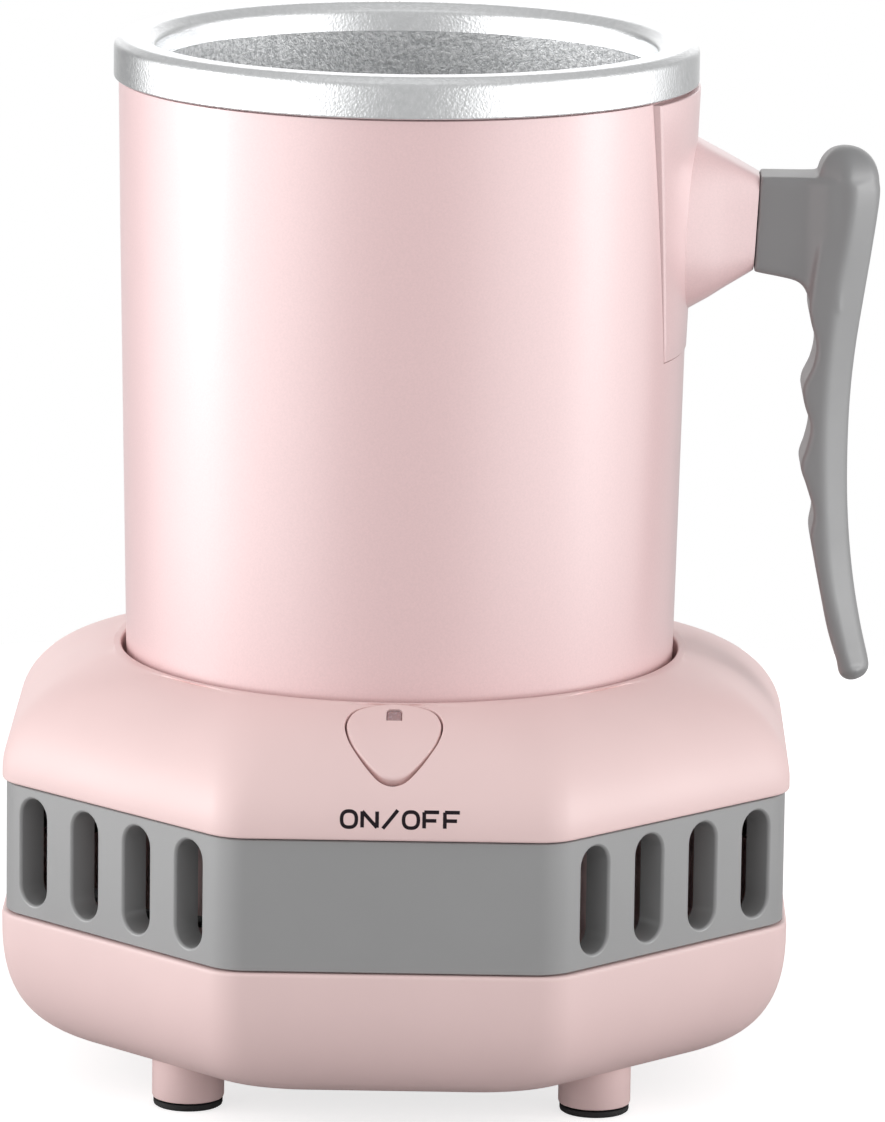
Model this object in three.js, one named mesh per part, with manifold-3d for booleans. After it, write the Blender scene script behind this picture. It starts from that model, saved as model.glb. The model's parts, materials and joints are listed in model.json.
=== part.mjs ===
// Desktop drink cooler: a lift-off mug that stands on a thermoelectric cold plate in an
// octagonal, fan-cooled base. Millimetres, +Z up. Everything is built around the mug's axis,
// and the finished group is moved along X so that the origin is under the middle of the whole box.
import * as THREE from 'three';
import { mergeVertices } from 'three/addons/utils/BufferGeometryUtils.js';
import Module from 'manifold-3d';

const wasm = await Module();
wasm.setup();

// ---- driving dimensions -------------------------------------------------------------------

const GAP = 0.3; // clearance between pieces that touch
const DEG = Math.PI / 180;

// base casing: an octagon in plan, with flats facing +-X, +-Y and the four diagonals
const SHELL_HALF = 69.8; // centre to flat, pink shells
const BAND_HALF = 69.0; // centre to flat, vent band
const CORNER_R = 9; // plan radius of the octagon's corners at the band
const WALL = 2.3;
const BAND_Z0 = 32.5;
const BAND_Z1 = 56.1;
const UNDERSIDE_Z = 7.2;
const LIP_HALF = BAND_HALF - WALL - 0.6; // lips of both pink shells locate inside the band
const LIP_WALL = 1.2;
const LIP_DEPTH = 2.1;
// curved shells: from the band outwards (z0) to their crown (z1), superellipse in section
const DOME = { z0: 58.3, z1: 76.8, inset: 23.8, power: 1.93, grow: 0.91 };
const BOWL = { z0: 31.5, z1: UNDERSIDE_Z, inset: 23.7, power: 2.58, grow: 0.76 };

// well that the mug stands in
const WELL_R = 50.0;
const WELL_FLOOR_Z = 64.4;
const WELL_HOLE_R = 34.5;
const WELL_FLOOR_T = 2.2;

// feet, with the housing screws inside them
const FOOT_XY = 36;
const FOOT_R = 6.4;
const PAD_H = 1.1;
const POST_R = 5.0;
const POST_TOP_Z = 30;
const SCREW_SEAT_Z = 25; // where the housing screws' heads bear
const BOSS_R = 4.2;

// vents
const VENT_FACES = [45, 135, 225, 315]; // degrees round from +X
const VENT_COUNT = 4; // slots in each face
const VENT_PITCH = 13.45;
const VENT_W = 6.6;
const VENT_H = 19.2;
const VENT_Z = 44.7;
const VENT_SHIFT = 1.0; // the rows sit a little towards the side faces
const INLET_R = 4.5;
const INTAKE_R = 26;
const INTAKE_PITCH = 5.6;
const INTAKE_SLOT_W = 3.4;
const INTAKE_SLOTS_EACH_SIDE = 4;

// power button, set into the dome at the front edge of the well
const BUTTON_TOP = new THREE.Vector3(0, -50.9, 76.35); // upper end of its chord
const BUTTON_TILT = 32.1 * DEG; // chord below horizontal
const BUTTON_GAP = 0.3;
const BUTTON_TRAVEL = 0.6;
const BUTTON_LEDGE = 2.2; // depth of the ledge that stops the cap

// cooling stack
const FAN_SIZE = 60;
const FAN_Z0 = 13.3;
const FAN_H = 15;
const FAN_BORE_R = 28.4;
const FAN_SCREW_XY = 25;
const SINK_R = 42;
const SINK_Z0 = 31;
const SINK_PLATE_Z0 = 50;
const SINK_Z1 = 54.2;
const FIN_COUNT = 18;
const CLAMP_SCREW_X = 27;
const CELL_SIZE = 40;
const CELL_Z0 = SINK_Z1 + GAP;
const CELL_Z1 = 58.2;
const PLATE_Z1 = 65.0; // top of the cold plate, where the mug stands
const FLANGE_R = 38;
const FLANGE_Z1 = 60.9;

// mug
const MUG_Z0 = PLATE_Z1 + GAP;
const MUG_SHELL_Z0 = 66.0;
const MUG_SHELL_Z1 = 178.6;
const MUG_WALL = 2.2;
const LINER_R = 43.5;
const LINER_WALL = 1.5;
const LINER_FLOOR_Z = 71.0;
const LINER_FOOT_R = 35.9; // boss that stands on the cold plate, through the shell's open bottom
const LINER_FLANGE_R = 47.1;
const LINER_FLANGE_Z0 = 179.6;
const LINER_Z1 = 181.1;
const RING_R = 51.9;
const RING_Z0 = 178.9;
const RING_Z1 = 186.1;
const RING_CREST_R = 48.3;
const RING_SKIRT_R = 47.5; // inner face of the skirt that drops into the shell
const RING_SKIRT_Z0 = 175;
const RING_SEAT_Z = 182.4;
const LIP_R = 44.8;

// handle, on the mug's +X side
const SADDLE_Z0 = 131.6;
const SADDLE_Z1 = 178.3;
const SADDLE_HALF_Z0 = 19.6; // half width at the lower edge
const SADDLE_HALF_Z1 = 26.8; // half width at the upper edge
const JOINT_X = 62.4; // parting face between bracket and grip
const GRIP_DEPTH = 15;
const STUB_DEPTH = 12;
const HANDLE_SCREW_Z = [149.5, 158.5];
const HANDLE_BORE_R = 2;
const HANDLE_REACH = 84.7; // mug axis to the back of the grip

// ---- materials ----------------------------------------------------------------------------

const paint = (color, roughness, metalness = 0) =>
  new THREE.MeshStandardMaterial({ color, roughness, metalness });
const PINK = paint(0xe7c3c3, 0.35);
const GREY = paint(0x8f8f90, 0.45);
const BLACK = paint(0x1b1b1c, 0.8);
const ALUMINIUM = paint(0xd6d8da, 0.3, 1);
const STEEL = paint(0xb9bcc0, 0.3, 1);
const BRASS = paint(0xc9a34f, 0.35, 1);
const COPPER = paint(0xb5673a, 0.4, 1);
const CERAMIC = paint(0xf1f1ec, 0.6);
const FOAM = paint(0xf4f2ea, 0.95);
const BOARD = paint(0x1f6b3a, 0.5);
const DARK = paint(0x2b2c2e, 0.5);
const LENS = paint(0xb8979a, 0.2);
const SILICONE = paint(0x8a8a8a, 0.7);
const RED = paint(0xa32020, 0.5);

// ---- geometry helpers ---------------------------------------------------------------------

// shared vertices merged and collapsed triangles dropped, so that the mesh is one closed surface
function weld(geometry) {
  const bare = geometry.index ? geometry.clone() : geometry;
  bare.deleteAttribute('normal');
  bare.deleteAttribute('uv');
  const merged = mergeVertices(bare, 1e-4);
  const index = merged.index.array;
  const kept = [];
  for (let i = 0; i < index.length; i += 3) {
    const [a, b, c] = [index[i], index[i + 1], index[i + 2]];
    if (a !== b && b !== c && c !== a) kept.push(a, b, c);
  }
  merged.setIndex(kept);
  return merged;
}

function solid(geometry) {
  const closed = weld(geometry);
  return new wasm.Manifold(
    new wasm.Mesh({
      numProp: 3,
      vertProperties: new Float32Array(closed.attributes.position.array),
      triVerts: new Uint32Array(closed.index.array),
    }),
  );
}

function surface(body) {
  const mesh = body.getMesh();
  const geometry = new THREE.BufferGeometry();
  geometry.setAttribute('position', new THREE.BufferAttribute(mesh.vertProperties, 3));
  geometry.setIndex(new THREE.BufferAttribute(mesh.triVerts, 1));
  return geometry;
}

const moved = (geometry, x, y, z) => geometry.clone().translate(x, y, z);

const SIDES = [-1, 1];
const CORNERS = [[1, -1], [-1, -1], [-1, 1], [1, 1]];

// a piece stood at one corner of a square, `reach` from both centre planes
const atCorner = (geometry, [sx, sy], reach) => solid(moved(geometry, sx * reach, sy * reach, 0));

function join(...bodies) {
  return bodies.reduce((whole, body) => whole.add(body));
}

function cut(body, ...tools) {
  return tools.reduce((rest, tool) => rest.subtract(tool), body);
}

// a closed (radius, height) profile turned about Z, whichever way round it is drawn
function turned(profile, segments = 32) {
  const points = profile.map(([r, z]) => new THREE.Vector2(r, z));
  if (THREE.ShapeUtils.area(points) < 0) points.reverse();
  points.push(points[0].clone());
  return new THREE.LatheGeometry(points, segments).rotateX(Math.PI / 2);
}

const disc = (r, z0, z1, segments = 32) =>
  turned([[0, z0], [r, z0], [r, z1], [0, z1]], segments);

const collar = (inner, outer, z0, z1, segments = 32) =>
  turned([[inner, z0], [outer, z0], [outer, z1], [inner, z1]], segments);

function block(x0, x1, y0, y1, z0, z1) {
  const box = new THREE.BoxGeometry(x1 - x0, y1 - y0, z1 - z0);
  return box.translate((x0 + x1) / 2, (y0 + y1) / 2, (z0 + z1) / 2);
}

// cutter that passes right through the base
const through = (r, segments = 12) => disc(r, -5, 100, segments);

function extruded(shape, z0, z1, options = {}) {
  const geometry = new THREE.ExtrudeGeometry(shape, { depth: z1 - z0, bevelEnabled: false, ...options });
  return geometry.translate(0, 0, z0);
}

// rod along Z, its middle at (x, y, z)
function rod(r, length, x, y, z, segments = 12) {
  return new THREE.CylinderGeometry(r, r, length, segments).rotateX(Math.PI / 2).translate(x, y, z);
}

// a skin over a list of closed rings; without caps the last ring joins the first
function loft(rings, capped = true) {
  const count = rings[0].length;
  const positions = rings.flat().flatMap((p) => [p.x, p.y, p.z]);
  const index = [];
  const bands = capped ? rings.length - 1 : rings.length;
  for (let i = 0; i < bands; i += 1) {
    const low = i * count;
    const high = ((i + 1) % rings.length) * count;
    for (let j = 0; j < count; j += 1) {
      const next = (j + 1) % count;
      index.push(low + j, low + next, high + next, low + j, high + next, high + j);
    }
  }
  if (capped) {
    const last = (rings.length - 1) * count;
    for (let j = 1; j < count - 1; j += 1) {
      index.push(0, j + 1, j);
      index.push(last, last + j, last + j + 1);
    }
  }
  const geometry = new THREE.BufferGeometry();
  geometry.setAttribute('position', new THREE.Float32BufferAttribute(positions, 3));
  geometry.setIndex(index);
  return geometry;
}

// ---- plan outlines of the base ------------------------------------------------------------

const CORNER_STEPS = 2;
const FLAT_STEPS = 2;
const EIGHTH = 45 * DEG;

// octagon with rounded corners, counter-clockwise from the first corner
function octagon(half, radius, z) {
  const points = [];
  const reach = (half - radius) / Math.cos(EIGHTH / 2);
  const halfFlat = (half - radius) * Math.tan(EIGHTH / 2);
  for (let corner = 0; corner < 8; corner += 1) {
    const middle = (corner + 0.5) * EIGHTH;
    for (let step = 0; step <= CORNER_STEPS; step += 1) {
      const angle = middle + (step / CORNER_STEPS - 0.5) * EIGHTH;
      const x = reach * Math.cos(middle) + radius * Math.cos(angle);
      const y = reach * Math.sin(middle) + radius * Math.sin(angle);
      points.push(new THREE.Vector3(x, y, z));
    }
    const flat = middle + EIGHTH / 2;
    for (let step = 1; step < FLAT_STEPS; step += 1) {
      const along = halfFlat * ((2 * step) / FLAT_STEPS - 1);
      const x = half * Math.cos(flat) - along * Math.sin(flat);
      const y = half * Math.sin(flat) + along * Math.cos(flat);
      points.push(new THREE.Vector3(x, y, z));
    }
  }
  return points;
}

// circle with one point for each of the octagon's, nearly evenly spaced
function circle(radius, z) {
  return octagon(60, 35, z).map((p) => {
    const scale = radius / Math.hypot(p.x, p.y);
    return new THREE.Vector3(p.x * scale, p.y * scale, z);
  });
}

// ring of a curved shell at height fraction t: superellipse in section, octagon in plan
function crown(curve, t, offset = 0) {
  const inset = curve.inset * (1 - (1 - t ** curve.power) ** (1 / curve.power));
  const towards = Math.sign(curve.z1 - curve.z0);
  const z = curve.z0 + (curve.z1 - curve.z0 - towards * offset) * t;
  return octagon(SHELL_HALF - offset - inset, CORNER_R + curve.grow * inset, z);
}

const CROWN_STEPS = [0, 0.36, 0.64, 0.84, 0.95];

// ---- base casing --------------------------------------------------------------------------

// frame of the button: u across the front towards -X, v down the slope, w outwards
const BUTTON_FRAME = new THREE.Matrix4().makeBasis(
  new THREE.Vector3(-1, 0, 0),
  new THREE.Vector3(0, -Math.cos(BUTTON_TILT), -Math.sin(BUTTON_TILT)),
  new THREE.Vector3(0, -Math.sin(BUTTON_TILT), Math.cos(BUTTON_TILT)),
).setPosition(BUTTON_TOP);

// right half of the shield outline, from the top edge to the tip
const SHIELD = [
  [0, 0], [5.0, 1.2], [7.5, 3.3], [8.5, 6.8], [7.8, 10.8], [6.1, 14.3], [4.2, 17.1], [2.2, 19.1],
];
const SHIELD_TIP = [0, 19.75];
const SHIELD_CENTRE = [0, 8.5];
const ABOVE_DOME = 6; // button cutters start this far outside the chord

// shield prism between two depths below the chord, grown by a margin on every side
function shieldPrism(grow, top, bottom) {
  const right = SHIELD.map(([u, v]) => new THREE.Vector2(u, v));
  const left = SHIELD.slice(1).reverse().map(([u, v]) => new THREE.Vector2(-u, v));
  const outline = [...right, new THREE.Vector2(...SHIELD_TIP), ...left];
  const centre = new THREE.Vector2(...SHIELD_CENTRE);
  const grown = outline.map((p) => {
    const arm = p.clone().sub(centre);
    return arm.multiplyScalar(1 + grow / arm.length()).add(centre);
  });
  const prism = extruded(new THREE.Shape(grown), -bottom, top);
  return solid(prism.applyMatrix4(BUTTON_FRAME));
}

// anything described in the button's frame
const atButton = (geometry) => solid(geometry.applyMatrix4(BUTTON_FRAME));

function domeBody() {
  const rings = CROWN_STEPS.map((t) => crown(DOME, t));
  return solid(loft([octagon(SHELL_HALF, CORNER_R, 50), ...rings, crown(DOME, 0.983)]));
}

const BOARD_SCREW = { u: 15, v: 14 };
const BOARD_DEPTH = 8.4; // chord to the board's upper face
const BOARD_T = 1.2;
const BOARD_BOSS_H = 11;

function baseTopShell() {
  const outer = CROWN_STEPS.map((t) => crown(DOME, t));
  const inner = [0.9, 0.7, 0.4, 0].map((t) => crown(DOME, t, WALL));
  const skin = loft([
    octagon(SHELL_HALF - 0.6, CORNER_R, BAND_Z1 + GAP),
    octagon(SHELL_HALF, CORNER_R, BAND_Z1 + 1),
    ...outer,
    crown(DOME, 0.98),
    circle(WELL_R + 0.8, 76.5),
    circle(WELL_R, 75.4),
    circle(WELL_R, WELL_FLOOR_Z),
    circle(WELL_HOLE_R, WELL_FLOOR_Z),
    circle(WELL_HOLE_R, WELL_FLOOR_Z - WELL_FLOOR_T),
    circle(WELL_R + WELL_FLOOR_T, WELL_FLOOR_Z - WELL_FLOOR_T),
    circle(WELL_R + WELL_FLOOR_T, 72.6),
    ...inner,
    octagon(LIP_HALF - LIP_WALL, CORNER_R, BAND_Z1 + 1.5),
    octagon(LIP_HALF - LIP_WALL, CORNER_R, BAND_Z1 - LIP_DEPTH),
    octagon(LIP_HALF, CORNER_R, BAND_Z1 - LIP_DEPTH),
    octagon(LIP_HALF, CORNER_R, BAND_Z1 + GAP),
  ], false);
  const outside = domeBody();
  const well = solid(through(WELL_R + 0.7, 48));
  const wellWall = solid(through(WELL_R + 2.4, 48));
  const guide = shieldPrism(1.5, -0.4, BUTTON_LEDGE + 1.8).intersect(outside).subtract(wellWall);
  const recess = shieldPrism(0, ABOVE_DOME, BUTTON_LEDGE).subtract(well);
  const opening = shieldPrism(-1.2, ABOVE_DOME, 14).subtract(wellWall);
  let shell = solid(skin).add(guide);
  const housingBoss = disc(BOSS_R, POST_TOP_Z + GAP, WELL_FLOOR_Z - 1, 12);
  for (const corner of CORNERS) shell = shell.add(atCorner(housingBoss, corner, FOOT_XY));
  for (const side of SIDES) {
    const middle = -BOARD_DEPTH + GAP + BOARD_BOSS_H / 2;
    const boss = rod(2.4, BOARD_BOSS_H, side * BOARD_SCREW.u, BOARD_SCREW.v, middle);
    shell = shell.add(atButton(boss).intersect(outside));
  }
  shell = cut(shell, recess, opening);
  for (const side of SIDES) {
    const pilot = rod(1.3, 7, side * BOARD_SCREW.u, BOARD_SCREW.v, -BOARD_DEPTH + 2, 8);
    shell = shell.subtract(atButton(pilot));
  }
  const housingPilot = disc(1.75, POST_TOP_Z - 10, POST_TOP_Z + 16, 8);
  for (const corner of CORNERS) shell = shell.subtract(atCorner(housingPilot, corner, FOOT_XY));
  return surface(shell);
}

// stadium-shaped prism through the band's wall, standing in the XZ plane
function ventCutter() {
  const half = VENT_W / 2;
  const straight = VENT_H / 2 - half;
  const outline = new THREE.Shape();
  outline.absarc(0, straight, half, 0, Math.PI);
  outline.absarc(0, -straight, half, Math.PI, 2 * Math.PI);
  return extruded(outline, -6, 6, { curveSegments: 2 }).rotateX(Math.PI / 2);
}

function ventBand() {
  const inside = BAND_HALF - WALL;
  const skin = loft([
    octagon(inside, CORNER_R, BAND_Z0 + GAP),
    octagon(BAND_HALF, CORNER_R, BAND_Z0 + GAP),
    octagon(BAND_HALF, CORNER_R, BAND_Z1),
    octagon(inside, CORNER_R, BAND_Z1),
  ], false);
  let band = solid(skin);
  for (const face of VENT_FACES) {
    const towardsSide = Math.cos((face + 90) * DEG) * Math.cos(face * DEG) > 0 ? 1 : -1;
    for (let i = 0; i < VENT_COUNT; i += 1) {
      const along = (i - (VENT_COUNT - 1) / 2) * VENT_PITCH + towardsSide * VENT_SHIFT;
      const cutter = ventCutter().translate(along, -BAND_HALF, VENT_Z);
      band = band.subtract(solid(cutter.rotateZ((face + 90) * DEG)));
    }
  }
  const inlet = new THREE.CylinderGeometry(INLET_R, INLET_R, 12, 20).translate(0, BAND_HALF, VENT_Z);
  return surface(band.subtract(solid(inlet)));
}

// slots of the fan's air intake: parallel bars inside a circle
function intakeSlots() {
  const slots = [];
  const reach = INTAKE_SLOT_W / 2;
  for (let i = -INTAKE_SLOTS_EACH_SIDE; i <= INTAKE_SLOTS_EACH_SIDE; i += 1) {
    const x = i * INTAKE_PITCH;
    const half = Math.sqrt(INTAKE_R ** 2 - x ** 2);
    slots.push(solid(block(x - reach, x + reach, -half, half, UNDERSIDE_Z - 2, UNDERSIDE_Z + 5)));
  }
  return slots;
}

function baseBottomShell() {
  const outer = CROWN_STEPS.map((t) => crown(BOWL, t)).reverse();
  const inner = CROWN_STEPS.map((t) => crown(BOWL, t, WALL)).reverse();
  const hollow = loft([crown(BOWL, 1, WALL), ...inner, octagon(SHELL_HALF - WALL, CORNER_R, BAND_Z0 + 1)]);
  const body = loft([crown(BOWL, 1), ...outer, octagon(SHELL_HALF - 0.5, CORNER_R, BAND_Z0)]);
  let shell = solid(body).subtract(solid(hollow));
  const lip = loft([
    octagon(SHELL_HALF - WALL + 0.4, CORNER_R, BAND_Z0 - 2.5),
    octagon(SHELL_HALF - WALL + 0.4, CORNER_R, BAND_Z0 - 0.5),
    octagon(LIP_HALF, CORNER_R, BAND_Z0 - 0.5),
    octagon(LIP_HALF, CORNER_R, BAND_Z0 + LIP_DEPTH),
    octagon(LIP_HALF - LIP_WALL, CORNER_R, BAND_Z0 + LIP_DEPTH),
    octagon(LIP_HALF - LIP_WALL, CORNER_R, BAND_Z0 - 2.5),
  ], false);
  shell = shell.add(solid(lip));
  const foot = disc(FOOT_R, PAD_H + GAP, 10, 16);
  const post = disc(POST_R, 8, POST_TOP_Z, 12);
  const standoff = disc(3, UNDERSIDE_Z + 1, FAN_Z0 - GAP, 10);
  for (const corner of CORNERS) {
    shell = shell
      .add(atCorner(foot, corner, FOOT_XY))
      .add(atCorner(post, corner, FOOT_XY))
      .add(atCorner(standoff, corner, FAN_SCREW_XY));
  }
  const counterbore = disc(3.4, -2, SCREW_SEAT_Z, 12);
  const clearance = disc(1.8, SCREW_SEAT_Z - 5, POST_TOP_Z + 2, 8);
  const pilot = disc(1.4, UNDERSIDE_Z + 1.4, FAN_Z0 + 2, 8);
  for (const corner of CORNERS) {
    shell = cut(
      shell,
      atCorner(counterbore, corner, FOOT_XY),
      atCorner(clearance, corner, FOOT_XY),
      atCorner(pilot, corner, FAN_SCREW_XY),
    );
  }
  return surface(cut(shell, ...intakeSlots()));
}

// ---- fasteners ----------------------------------------------------------------------------

// pan-head screw standing on Z, head downwards
function screw({ shaftR, headR, headH, length }) {
  return turned([
    [0, 0], [headR * 0.7, 0], [headR, headH * 0.5], [headR, headH],
    [shaftR, headH], [shaftR, length], [0, length],
  ], 8);
}

const HOUSING_SCREW = { shaftR: 1.4, headR: 2.9, headH: 2.2, length: 22 };
const FAN_SCREW = { shaftR: 1.0, headR: 2.4, headH: 1.6, length: 18 };
const CLAMP_SCREW = { shaftR: 1.4, headR: 2.6, headH: 2, length: 15 };
const BOARD_SCREW_SIZE = { shaftR: 0.95, headR: 2, headH: 1.4, length: 7 };
const HANDLE_SCREW = { shaftR: 1.5, headR: 2.8, headH: 1.6, length: 22 };

// ---- button and its switch ----------------------------------------------------------------

const LED_WINDOW = { half: 1.3, v0: 2.3, v1: 5.9 };
const SWITCH_V = 14.2;
const STEM_R = 1.5;

function windowPrism(grow) {
  const { half, v0, v1 } = LED_WINDOW;
  return block(-half - grow, half + grow, v0 - grow, v1 + grow, -1.6, ABOVE_DOME);
}

function buttonCap() {
  const well = solid(through(WELL_R + 1.1, 48));
  const prism = shieldPrism(-BUTTON_GAP, ABOVE_DOME, BUTTON_LEDGE - BUTTON_TRAVEL - 0.1);
  const plate = cut(prism.intersect(domeBody()), well, atButton(windowPrism(GAP)));
  return surface(plate.add(atButton(rod(STEM_R, 3, 0, SWITCH_V, -1.7))));
}

function ledWindow() {
  return surface(atButton(windowPrism(0)).intersect(domeBody()));
}

function switchPlunger() {
  return rod(STEM_R, 2.1, 0, SWITCH_V, -4.55).applyMatrix4(BUTTON_FRAME);
}

function tactSwitch() {
  const half = 3;
  const body = solid(block(-half, half, SWITCH_V - half, SWITCH_V + half, -8.1, -4.6));
  const cored = body.subtract(solid(rod(STEM_R + GAP, 3, 0, SWITCH_V, -5.3)));
  return surface(cored).applyMatrix4(BUTTON_FRAME);
}

function indicatorLed() {
  const profile = [[0, 0], [1.6, 0], [1.6, 0.6], [1.3, 0.6], [1.3, 2.2], [0.8, 3], [0, 3.3]];
  return turned(profile, 12).translate(0, 9.3, -8.1).applyMatrix4(BUTTON_FRAME);
}

function controlBoard() {
  const top = -BOARD_DEPTH;
  const board = solid(block(-20, 20, 8.4, 19.6, top - BOARD_T, top));
  const regulator = solid(block(6, 11, 10, 16, top - 0.1, top + 1.5));
  const connector = solid(block(-11, -6, 15, 19, top - 0.1, top + 2.5));
  let whole = join(board, regulator, connector);
  for (const side of SIDES) {
    const hole = rod(1.3, 4, side * BOARD_SCREW.u, BOARD_SCREW.v, top - BOARD_T / 2, 8);
    whole = whole.subtract(solid(hole));
  }
  return surface(whole).applyMatrix4(BUTTON_FRAME);
}

function boardScrew(side) {
  const headZ = -BOARD_DEPTH - BOARD_T - GAP - BOARD_SCREW_SIZE.headH;
  const body = screw(BOARD_SCREW_SIZE).translate(side * BOARD_SCREW.u, BOARD_SCREW.v, headZ);
  return body.applyMatrix4(BUTTON_FRAME);
}

// ---- cooling stack ------------------------------------------------------------------------

function heatSink() {
  const fins = new THREE.Shape();
  const pitch = 360 / FIN_COUNT;
  const halfFin = 0.8;
  const hub = 11;
  for (let i = 0; i < FIN_COUNT; i += 1) {
    const middle = (i + 0.5) * pitch * DEG;
    for (const [radius, side] of [[hub, -1], [SINK_R, -1], [SINK_R, 1], [hub, 1]]) {
      const angle = middle + (side * halfFin) / radius;
      const point = [radius * Math.cos(angle), radius * Math.sin(angle)];
      if (i === 0 && side === -1 && radius === hub) fins.moveTo(...point);
      else fins.lineTo(...point);
    }
  }
  const star = solid(extruded(fins, SINK_Z0, SINK_PLATE_Z0 + 0.5));
  let sink = star.add(solid(disc(SINK_R, SINK_PLATE_Z0, SINK_Z1, 40)));
  for (const side of SIDES) {
    sink = sink.subtract(solid(moved(through(1.8), side * CLAMP_SCREW_X, 0, 0)));
  }
  return surface(sink);
}

function peltierModule() {
  const half = CELL_SIZE / 2;
  const plate = 0.9;
  return surface(join(
    solid(block(-half, half, -half, half, CELL_Z0, CELL_Z0 + plate)),
    solid(block(-half + 1, half - 1, -half + 1, half - 1, CELL_Z0 + 0.5, CELL_Z1 - 0.5)),
    solid(block(-half, half, -half, half, CELL_Z1 - plate, CELL_Z1)),
  ));
}

function foamRing() {
  const hole = CELL_SIZE / 2 + 0.5;
  const [low, high] = [CELL_Z0 - 1, CELL_Z1 + 1];
  const window = solid(block(-hole, hole, -hole, hole, low, high));
  const leadSlot = solid(block(-9, -3, -45, -hole + 1, low, high));
  let ring = cut(solid(disc(FLANGE_R, CELL_Z0, CELL_Z1, 32)), window, leadSlot);
  for (const side of SIDES) {
    ring = ring.subtract(solid(moved(through(2.2), side * CLAMP_SCREW_X, 0, 0)));
  }
  return surface(ring);
}

function coldPlate() {
  const low = CELL_Z1 + GAP;
  const r = WELL_HOLE_R - 0.6;
  const edge = 0.5;
  let plate = solid(turned([
    [0, low], [FLANGE_R, low], [FLANGE_R, FLANGE_Z1],
    [r, FLANGE_Z1], [r, PLATE_Z1 - edge], [r - edge, PLATE_Z1], [0, PLATE_Z1],
  ], 32));
  for (const side of SIDES) {
    const blindHole = disc(1.8, SINK_PLATE_Z0, PLATE_Z1 - 1.8, 12);
    plate = plate.subtract(solid(moved(blindHole, side * CLAMP_SCREW_X, 0, 0)));
  }
  return surface(plate);
}

function fanFrame() {
  const rounding = 3;
  const inner = FAN_SIZE / 2 - rounding;
  const top = FAN_Z0 + FAN_H;
  const spider = FAN_Z0 + 1.6; // upper face of the struts and of the motor's plate
  const square = new THREE.Shape();
  square.absarc(inner, inner, rounding, 0, Math.PI / 2);
  square.absarc(-inner, inner, rounding, Math.PI / 2, Math.PI);
  square.absarc(-inner, -inner, rounding, Math.PI, 1.5 * Math.PI);
  square.absarc(inner, -inner, rounding, 1.5 * Math.PI, 2 * Math.PI);
  const body = extruded(square, FAN_Z0, top, { curveSegments: 3 });
  let frame = solid(body).subtract(solid(through(FAN_BORE_R, 28)));
  frame = frame.add(solid(disc(12.5, FAN_Z0, spider, 24)));
  for (let i = 0; i < 4; i += 1) {
    const strut = block(11, 29, -1.5, 1.5, FAN_Z0, spider).rotateZ((i * 90 + 20) * DEG);
    frame = frame.add(solid(strut));
  }
  frame = frame.add(solid(disc(4, FAN_Z0 + 1, 22, 16)));
  frame = frame.subtract(solid(disc(2.7, spider, top + 10, 16)));
  for (const corner of CORNERS) frame = frame.subtract(atCorner(through(1.7, 8), corner, FAN_SCREW_XY));
  return surface(frame);
}

const ROTOR_Z0 = 15.6;
const ROTOR_Z1 = 27.4;
const ROTOR_R = 13;
const BLADE_COUNT = 7;
const BLADE = { root: 12.6, tip: 27.4, halfChord: 5.4, halfThickness: 0.5, middleZ: 21.4 };

// section of a blade at one radius, less steep towards the tip
function bladeRing(radius) {
  const out = radius - BLADE.root;
  const pitch = (48 - out * 1.1) * DEG;
  const skew = (out * 0.48) / radius;
  return [[-1, -1], [1, -1], [1, 1], [-1, 1]].map(([along, side]) => {
    const run = along * BLADE.halfChord;
    const thick = side * BLADE.halfThickness;
    const across = run * Math.cos(pitch) - thick * Math.sin(pitch);
    const up = run * Math.sin(pitch) + thick * Math.cos(pitch);
    const angle = across / radius + skew;
    return new THREE.Vector3(radius * Math.cos(angle), radius * Math.sin(angle), BLADE.middleZ + up);
  });
}

function fanRotor() {
  const bore = ROTOR_R - 1.6;
  const roof = ROTOR_Z1 - 1.5;
  let rotor = solid(turned([
    [0, roof], [bore, roof], [bore, ROTOR_Z0], [ROTOR_R, ROTOR_Z0],
    [ROTOR_R, ROTOR_Z1 - 0.8], [ROTOR_R - 0.8, ROTOR_Z1], [0, ROTOR_Z1],
  ], 28));
  const blade = loft([BLADE.root, (BLADE.root + BLADE.tip) / 2, BLADE.tip].map(bladeRing));
  for (let i = 0; i < BLADE_COUNT; i += 1) {
    rotor = rotor.add(solid(blade.clone().rotateZ((i * 360 * DEG) / BLADE_COUNT)));
  }
  return surface(rotor.subtract(solid(disc(1.3, 10, 26.9, 12))));
}

// motor winding: a ring with a coil bump for each pole
function fanStator() {
  const outline = new THREE.Shape();
  const poles = 4;
  for (let i = 0; i < poles; i += 1) {
    const start = (i * 360) / poles;
    outline.absarc(0, 0, 10.4, (start + 8) * DEG, (start + 82) * DEG);
    outline.absarc(0, 0, 6.5, (start + 84) * DEG, (start + 96) * DEG);
  }
  const hole = new THREE.Path();
  hole.absarc(0, 0, 4.5, 0, 2 * Math.PI);
  outline.holes.push(hole);
  return extruded(outline, 16.2, 21.8, { curveSegments: 4 });
}

// ---- rear inlet and leads -----------------------------------------------------------------

// barrel socket on the Y axis: flange outside the band, centre pin standing in the bore
function dcJack() {
  const length = 14.4;
  const r = INLET_R - 0.4;
  const socket = { r: 2.9, back: 4.5 };
  const pin = { r: 1, front: 12.5 };
  const profile = [
    [0, 0], [r, 0], [r, length - 0.8], [r - 0.2, length], [socket.r, length], [socket.r, socket.back],
    [pin.r, socket.back], [pin.r, pin.front], [0, pin.front + 0.5],
  ];
  return turned(profile, 20).rotateX(-Math.PI / 2).translate(0, BAND_HALF - length, VENT_Z);
}

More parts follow.
